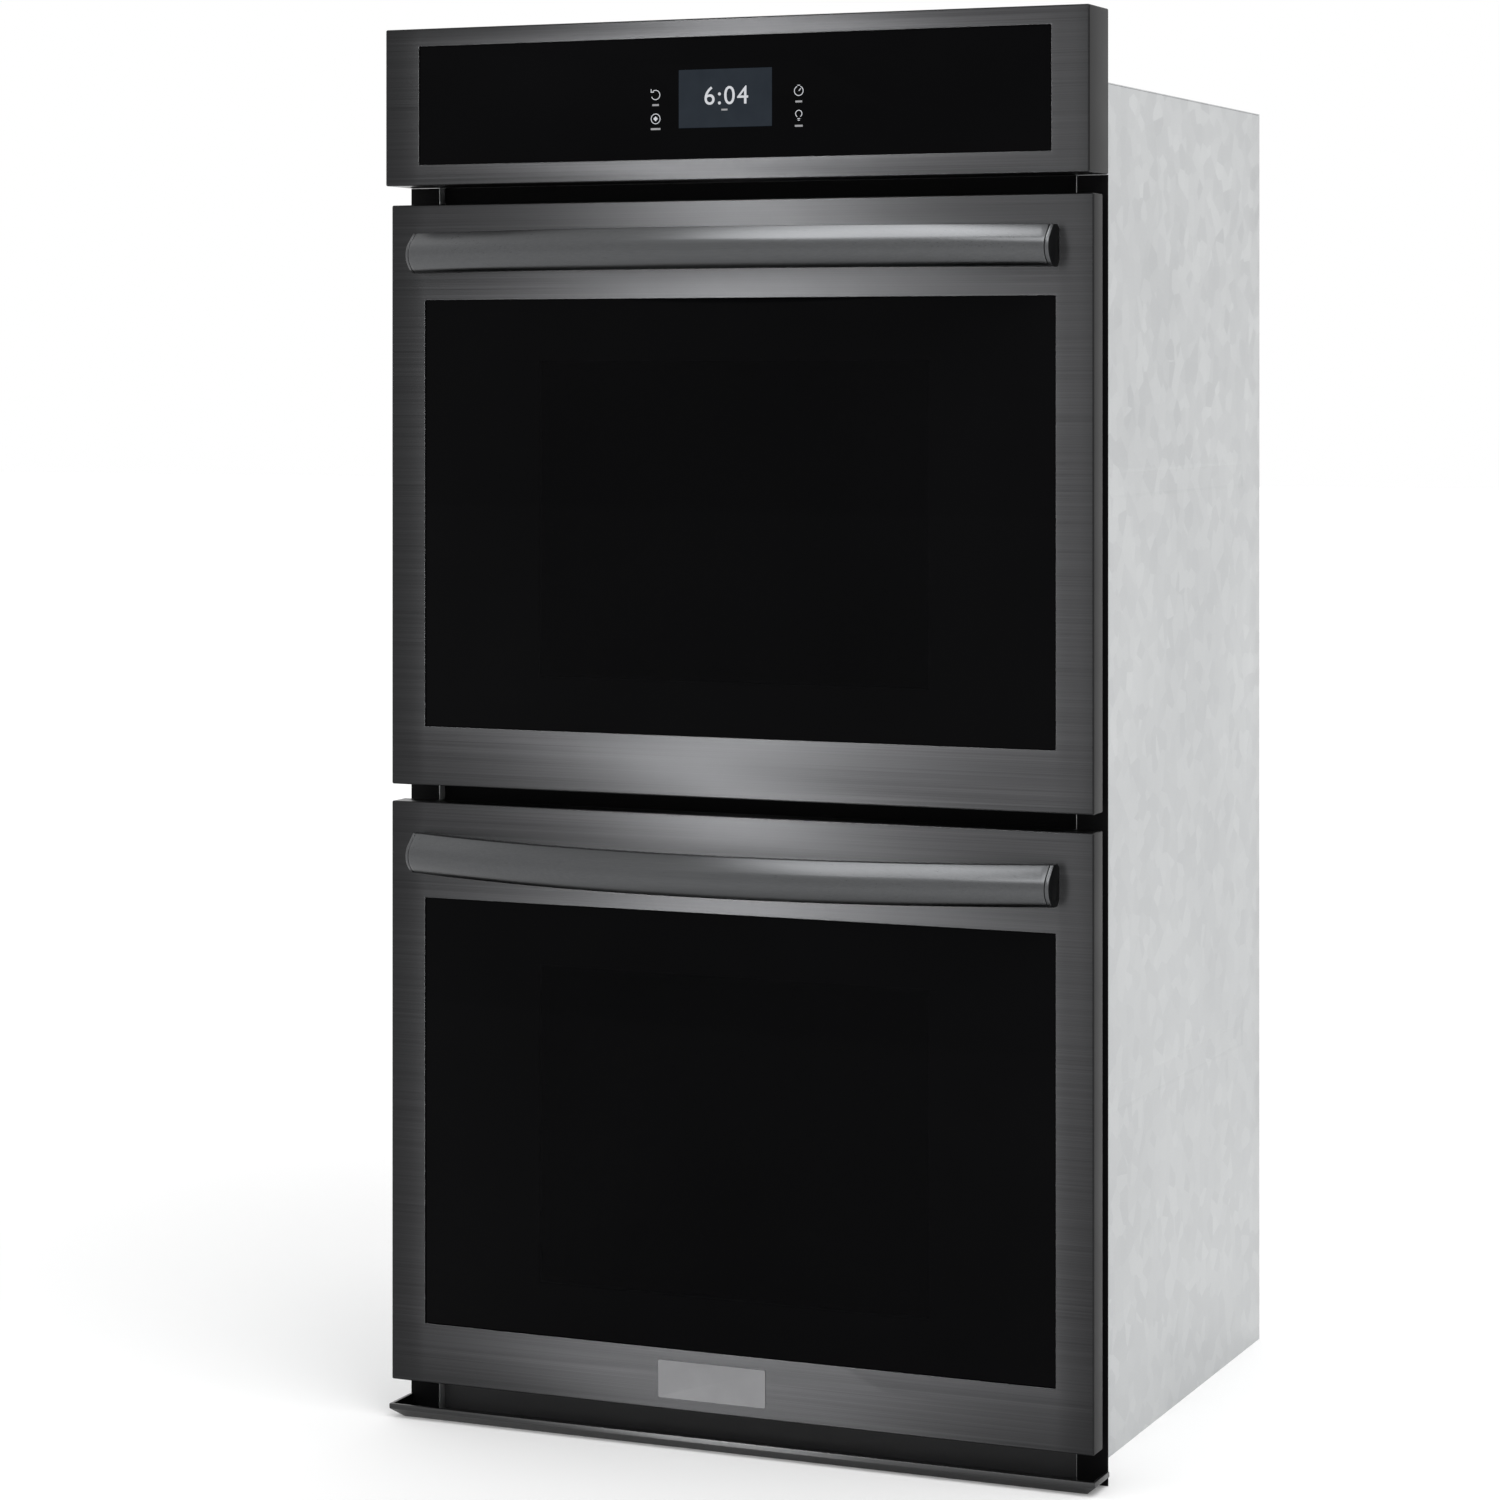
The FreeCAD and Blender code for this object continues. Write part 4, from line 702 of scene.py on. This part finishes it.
across, down = display["digitsAt"]
addDigits("6:04", across, top - down, display["digits"], "clock_digits")
across, down = display["barAt"]
flatMark("clock_bar", barMark(across, top - down, *display["barSize"]), greyMark)

# ---- glass, plate and trim ----
print("glass, plate and trim")
slab = {"glassEdge": 1.0 * mm, "plateEdge": 0.45 * mm, "plateRound": 1.5 * mm, "trimEdge": 0.5 * mm}
for oven in ("upper", "lower"):
    low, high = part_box(oven + "_door_outer_glass")
    pane = startBlock(oven + "_glass", low, high)
    soften(pane, slab["glassEdge"], 2)
    outer = oven + "_door_outer_glass"
    finishPiece(pane, finishOf[outer], oven + "_door", "dark_glass", outer)

low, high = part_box("control_glass")
pane = startBlock("panel_pane", low, high)
cutOut(pane, [startBlock("opening", (screenLow.x + edge, low.y - past, screenLow.z + inset),
                         (screenHigh.x - edge, high.y + past, screenHigh.z - inset))])
soften(pane, slab["glassEdge"] * 0.4, 2)
finishPiece(pane, panelGlass, "root", "dark_glass", "control_glass")

low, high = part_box("name_plate")
plate = startBlock("plate", low, high)
editing(plate, "EDGE", lambda edge: abs(edge.verts[0].co.y - edge.verts[1].co.y) > 50 * hair)
bpy.ops.mesh.bevel(offset=slab["plateRound"], segments=4, affect="EDGES")
done()
editing(plate, "FACE", lambda face: face.normal.y < -0.9)
bpy.ops.mesh.inset(thickness=slab["plateEdge"] * 2.2)
bpy.ops.transform.translate(value=(0, slab["plateEdge"] * 0.5, 0))
done()
soften(plate, slab["plateEdge"] * 0.35, 2)
finishPiece(plate, plateMetal, "lower_door", "plate_metal", "name_plate")

trim = {"nose": 4.6 * mm, "lean": 10.5 * mm, "wall": 3.0 * mm, "floor": 3.0 * mm, "room": 314.7 * mm,
        "roomFront": 6.2 * mm, "over": 1 * mm}


def leaningBlock(name, low, high, noseLow, lean):  # its front and ends lean out up to the upright nose
    block = startBlock(name, low, high)
    planeCut(block, (0, 0, noseLow), (0, 0, 1))
    editing(block, "FACE", lambda face: face.normal.z < -0.9)
    bpy.ops.transform.resize(value=(1 - lean / high[0], 1 - lean / (high[1] - low[1]), 1),
                             center_override=(0, high[1], low[2]))
    done()
    return block


low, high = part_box("bottom_trim")
tray = leaningBlock("trim", low, high, high.z - trim["nose"], trim["lean"])
wall, over = trim["wall"], trim["over"]
share = 1 - trim["floor"] / (high.z - trim["nose"])
hollow = leaningBlock("hollow", (low.x + wall, low.y + wall, trim["floor"]),
                      (high.x - wall, high.y + over, high.z + over), high.z - trim["nose"],
                      trim["lean"] * share)
space = startBlock("space", (-trim["room"], -trim["roomFront"], -over),
                   (trim["room"], high.y + over, high.z + 2 * over))
cutOut(tray, [hollow, space])
outward(tray)
soften(tray, slab["trimEdge"], 3, 25)
finishPiece(tray, trimSteelPaintedHighlight, "root", "black_stainless", "bottom_trim")

# ---- racks ----
print("racks")
rack = {"rod": 3.0 * mm, "cross": 2.6 * mm, "wire": 1.7 * mm, "count": 15, "corner": 12 * mm}


def wireLoop(name, centre, size, turn, radius, corner):  # a closed wire with round corners
    clearSelection()
    bpy.ops.mesh.primitive_plane_add(size=1, location=centre, rotation=turn)
    bpy.context.object.scale = (size[0], size[1], 1)
    loop = settle(name)
    editing(loop, "FACE", lambda face: True)
    bpy.ops.mesh.delete(type="ONLY_FACE")
    done()
    editing(loop, "EDGE", lambda edge: True)
    bpy.ops.mesh.bevel(offset=corner, segments=8, affect="VERTICES")
    done()
    only(loop)
    bpy.ops.object.convert(target="CURVE")
    curve = bpy.context.object.data
    curve.bevel_depth = radius
    curve.bevel_resolution = 3
    bpy.ops.object.convert(target="MESH")
    loop = bpy.context.object
    loop.name = loop.data.name = name
    outward(loop)
    smooth(loop, 60)
    return loop


def copyOf(thing, name, shift):
    only(thing)
    bpy.ops.object.duplicate()
    bpy.ops.transform.translate(value=shift)
    return settle(name)


def makeRack(low, high):
    rod, cross, wire = rack["rod"], rack["cross"], rack["wire"]
    z = low.z + rod
    size = (high.x - low.x - 2 * rod, high.y - low.y - 2 * rod)
    middle = (low.y + high.y) / 2
    loop = wireLoop("rack", ((low.x + high.x) / 2, middle, z), size, (0, 0, 0), rod, rack["corner"])
    bar = startRod("cross", (low.x + rod, middle, z), (high.x - rod, middle, z), cross, 12)
    pitch = 2 * (high.x - 2 * rod) / (rack["count"] + 1)
    start = -pitch * (rack["count"] - 1) / 2
    grid = startRod("grid", (start, low.y + cross, z + cross), (start, high.y - cross, z + cross), wire, 12)
    soften(grid, wire * 0.6, 3)
    modify(grid, "ARRAY", {"count": rack["count"], "use_relative_offset": False, "use_constant_offset": True,
                           "constant_offset_displace": (pitch, 0, 0)})
    smooth(bar)
    smooth(grid, 60)
    return together("rack", [loop, bar, grid])


firstLow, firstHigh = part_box("upper_rack_low")
firstRack = makeRack(firstLow, firstHigh)
for name in ("upper_rack_high", "lower_rack_low", "lower_rack_high"):
    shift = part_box(name)[0] - firstLow
    finishPiece(copyOf(firstRack, name + "_wire", shift), chromeWire, name, "chrome_wire", name)
firstRack.name = "upper_rack_low_wire"
finishPiece(firstRack, chromeWire, "upper_rack_low", "chrome_wire", "upper_rack_low")

# ---- cavities and door seals ----
print("cavities")
cavity = {"half": 266.5 * mm, "back": 484 * mm, "sheet": 1.0 * mm, "corner": 14 * mm, "overlap": 31.0 * mm,
          "ledge": 8.0 * mm, "ledgeThick": 5.0 * mm, "ledgeFront": 36 * mm, "ledgeBack": 446 * mm,
          "ledgeFirst": 48 * mm, "ledgePitch": 49 * mm, "ledges": 7, "ledgeRound": 1.6 * mm}


def makeCavity(low, high):
    half, sheetThick = cavity["half"], cavity["sheet"]
    floorZ, roofZ = low.z + cavity["overlap"], high.z - cavity["overlap"]
    shell = startBlock("shell", (-half, low.y, floorZ), (half, cavity["back"], roofZ))
    editing(shell, "FACE", lambda face: face.normal.y < -0.9)
    bpy.ops.mesh.delete(type="FACE")
    done()
    editing(shell, "EDGE", lambda edge: not edge.is_boundary)
    bpy.ops.mesh.bevel(offset=cavity["corner"], segments=5, affect="EDGES")
    done()
    modify(shell, "SOLIDIFY", {"thickness": sheetThick, "offset": 1.0, "use_even_offset": True})
    smooth(shell)
    surround = startBlock("surround", low, (high.x, low.y + sheetThick, high.z))
    cutOut(surround, [startBlock("mouth", (-half, low.y - past, floorZ), (half, low.y + past, roofZ))])
    soften(surround, sheetThick * 0.3, 2)
    z = floorZ + cavity["ledgeFirst"]
    ledges = []
    for side in (-1, 1):
        x0, x1 = sorted((side * (half - cavity["ledge"]), side * (half + sheetThick / 2)))
        ledge = startBlock("ledge", (x0, cavity["ledgeFront"], z - cavity["ledgeThick"]),
                           (x1, cavity["ledgeBack"], z))
        soften(ledge, cavity["ledgeRound"], 4)
        modify(ledge, "ARRAY", {"count": cavity["ledges"], "use_relative_offset": False,
                                "use_constant_offset": True,
                                "constant_offset_displace": (0, 0, cavity["ledgePitch"])})
        ledges.append(ledge)
    return together("cavity", [shell, surround] + ledges)


firstLow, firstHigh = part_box("lower_cavity")
firstCavity = makeCavity(firstLow, firstHigh)
other = copyOf(firstCavity, "upper_cavity_liner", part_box("upper_cavity")[0] - firstLow)
finishPiece(other, enamel, "root", "enamel", "upper_cavity")
firstCavity.name = "lower_cavity_liner"
finishPiece(firstCavity, enamel, "root", "enamel", "lower_cavity")

low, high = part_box("door_gaskets")
seal = {"width": 4.5 * mm, "corner": 14 * mm, "spread": 15 * mm}
sealRise = firstHigh.z - firstLow.z - 2 * cavity["overlap"] + 2 * seal["spread"]
sealLoops = []
for oven, foot in (("lower", low.z), ("upper", high.z - sealRise)):
    width = seal["width"]
    centre = (0, (low.y + high.y) / 2, foot + sealRise / 2)
    size = (high.x - low.x - 2 * width, sealRise - 2 * width)
    loop = wireLoop("seal", centre, size, (radians(90), 0, 0), width, seal["corner"])
    editing(loop, "FACE", lambda face: True)
    bpy.ops.transform.resize(value=(1, (high.y - low.y) / (2 * width), 1), center_override=centre)
    done()
    sealLoops.append(loop)
finishPiece(together("door_seals", sealLoops), sealWeave, "root", "gasket", "door_gaskets")

# ---- door liners ----
print("door liners")
liner = {"half": 300.0 * mm, "sheet": 1.0 * mm, "fold": 7 * mm, "clear": 190.0 * mm, "bottom": 100.0 * mm,
         "top": 137.0 * mm, "notch": 210.5 * mm, "slotLeft": -1.0 * mm, "slotRight": 19.0 * mm,
         "slotDrop": 13.0 * mm, "slotRise": 8.5 * mm, "slotReach": 4 * mm}
for oven in ("upper", "lower"):
    low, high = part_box(oven + "_door_liner")
    rear = low.y + liner["sheet"]
    half = liner["half"]
    window = (-liner["clear"], liner["clear"], low.z + liner["bottom"], high.z - liner["top"])
    pan = foldedPan(oven + "_liner", (-half, rear, low.z), (half, high.y, high.z), window, liner["sheet"],
                    liner["fold"], -1)
    slotLow = high.z - liner["slotDrop"]
    reach = liner["slotReach"]
    cutOut(pan, [startBlock("slot", (liner["slotLeft"], high.y - reach, slotLow),
                            (liner["slotRight"], high.y + reach, slotLow + liner["slotRise"]))])
    flange = startBlock("flange", low, (high.x, rear, high.z))
    cutters = [startBlock("hole", (-half + liner["sheet"], low.y - past, low.z + liner["sheet"]),
                          (half - liner["sheet"], rear + past, high.z - liner["sheet"]))]
    for side in (-1, 1):
        x0, x1 = sorted((side * half, side * (high.x + past)))
        cutters.append(startBlock("notch", (x0, low.y - past, low.z - past),
                                  (x1, rear + past, low.z + liner["notch"])))
    cutOut(flange, cutters)
    soften(flange, liner["sheet"] * 0.25, 2)
    whole = together(oven + "_liner", [pan, flange])
    finishPiece(whole, enamel, oven + "_door", "enamel", oven + "_door_liner")

# ---- chassis sides ----
print("chassis sides")
ribs = {"height": 26 * mm, "end": 60 * mm, "deep": 0.5 * mm, "slope": 3 * mm, "round": 0.3 * mm,
        "rows": (304.8 * mm, 858.6 * mm)}
for side, word in ((-1, "left"), (1, "right")):
    low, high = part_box("chassis_side_" + word)
    panelSheet = startBlock("side_" + word, low, high)
    for y in (low.y + ribs["end"], high.y - ribs["end"]):
        planeCut(panelSheet, (0, y, 0), (0, 1, 0))
    for row in ribs["rows"]:
        for z in (row, row + ribs["height"]):
            planeCut(panelSheet, (0, 0, z), (0, 0, 1))

    def onRib(face):
        centre = face.calc_center_median()
        inside = any(row < centre.z < row + ribs["height"] for row in ribs["rows"])
        return inside and face.normal.x * side > 0.9 and low.y + ribs["end"] < centre.y < high.y - ribs["end"]

    editing(panelSheet, "FACE", onRib)
    bpy.ops.mesh.inset(thickness=ribs["slope"])
    bpy.ops.transform.translate(value=(-side * ribs["deep"], 0, 0))
    done()
    soften(panelSheet, ribs["round"], 2, 8)
    finishPiece(panelSheet, galvanised, "root", "galvanised", "chassis_side_" + word)

# ---- room, light and camera ----
print("room and camera")
room = {"eye": (1.445, -3.3653, 0.9716), "turn": 23.2, "lens": 96.97, "shift": -0.2512,
        "floorGrey": 0.92, "worldGrey": 1.0, "fadeNear": 1.0, "fadeFar": 5.0, "glow": (0.09, 0.22)}


def addFloor():
    clearSelection()
    bpy.ops.mesh.primitive_plane_add(size=60, location=(0, 0, 0))
    floor = bpy.context.object
    floor.name = "floor"
    finish, tree, shader = newFinish("floor_paint", {"Specular IOR Level": 0.1, "Roughness": 0.8,
                                                     "Emission Strength": 1.0})
    grey = room["floorGrey"]
    where = place(tree)
    cloud = noise(tree, where, 0.7, 2)
    feed(tree, shader.inputs["Base Color"], blendColour(tree, cloud, (grey,) * 3, (grey * 0.98,) * 3))
    apart = node(tree, "ShaderNodeVectorMath", {"operation": "LENGTH"}, {0: where}, 1)
    far = node(tree, "ShaderNodeMapRange", None, {"Value": apart, "From Min": room["fadeNear"],
                                                  "From Max": room["fadeFar"]})
    glow = room["glow"]
    feed(tree, shader.inputs["Emission Color"], blendColour(tree, far, (glow[0],) * 3, (glow[1],) * 3))
    dress(floor, finish)
    floor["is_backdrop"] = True


def addSoftbox(name, spot, aim, size, power):
    lamp = bpy.data.lights.new(name, "AREA")
    lamp.shape, lamp.energy = "RECTANGLE", power
    lamp.size, lamp.size_y = size
    lampObject = bpy.data.objects.new(name, lamp)
    bpy.context.scene.collection.objects.link(lampObject)
    lampObject.location = spot
    lampObject.rotation_euler = (Vector(aim) - Vector(spot)).to_track_quat("-Z", "Y").to_euler()
    return lampObject


def onlyLights(lampObject, *finishes):  # light linking to the pieces with these finishes
    chosen = bpy.data.collections.new(lampObject.name + "_lit")
    for thing in set(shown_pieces()) | set(nodes.values()):
        if thing.data.materials and thing.data.materials[0] in finishes:
            chosen.objects.link(thing)
    lampObject.light_linking.receiver_collection = chosen
    lampObject.visible_camera = False


addFloor()
world = bpy.data.worlds.new("studio")
world.use_nodes = True
worldGrey = room["worldGrey"]
world.node_tree.nodes["Background"].inputs["Color"].default_value = (worldGrey, worldGrey, worldGrey, 1)
world.node_tree.nodes["Background"].inputs["Strength"].default_value = 1.0
bpy.context.scene.world = world
bpy.context.scene.view_settings.view_transform = "Standard"

lamps = {
    "strip": {"spot": (-0.47, -1.12, 0.66), "aim": (0, -0.04, 0.66), "size": (0.05, 3.0), "power": 42,
              "shadow": False, "lights": (blackSteel, trimSteelPaintedHighlight)},
    "fill": {"spot": (0.05, -1.25, 0.66), "aim": (0.3, -0.04, 0.66), "size": (0.3, 3.0), "power": 7,
             "shadow": True, "lights": (blackSteel, trimSteelPaintedHighlight)},
    "ceiling": {"spot": (-0.22, -0.3, 3.1), "aim": (0, -0.1, 1.0), "size": (0.9, 1.2), "power": 22,
                "shadow": False, "lights": (handleSteel,)},
    "top": {"spot": (1.6, -1.0, 3.2), "aim": (0, 0, 0.9), "size": (2.4, 1.6), "power": 40,
            "shadow": True, "lights": ()},
}
for name, lamp in lamps.items():
    softbox = addSoftbox(name, lamp["spot"], lamp["aim"], lamp["size"], lamp["power"])
    softbox.data.use_shadow = lamp["shadow"]
    if lamp["lights"]:
        onlyLights(softbox, *lamp["lights"])

eye = bpy.data.cameras.new("camera")
eye.lens, eye.sensor_width, eye.shift_y = room["lens"], 36.0, room["shift"]
eyeObject = bpy.data.objects.new("camera", eye)
bpy.context.scene.collection.objects.link(eyeObject)
eyeObject.location = room["eye"]
eyeObject.rotation_euler = (radians(90), 0, radians(room["turn"]))
bpy.context.scene.camera = eyeObject
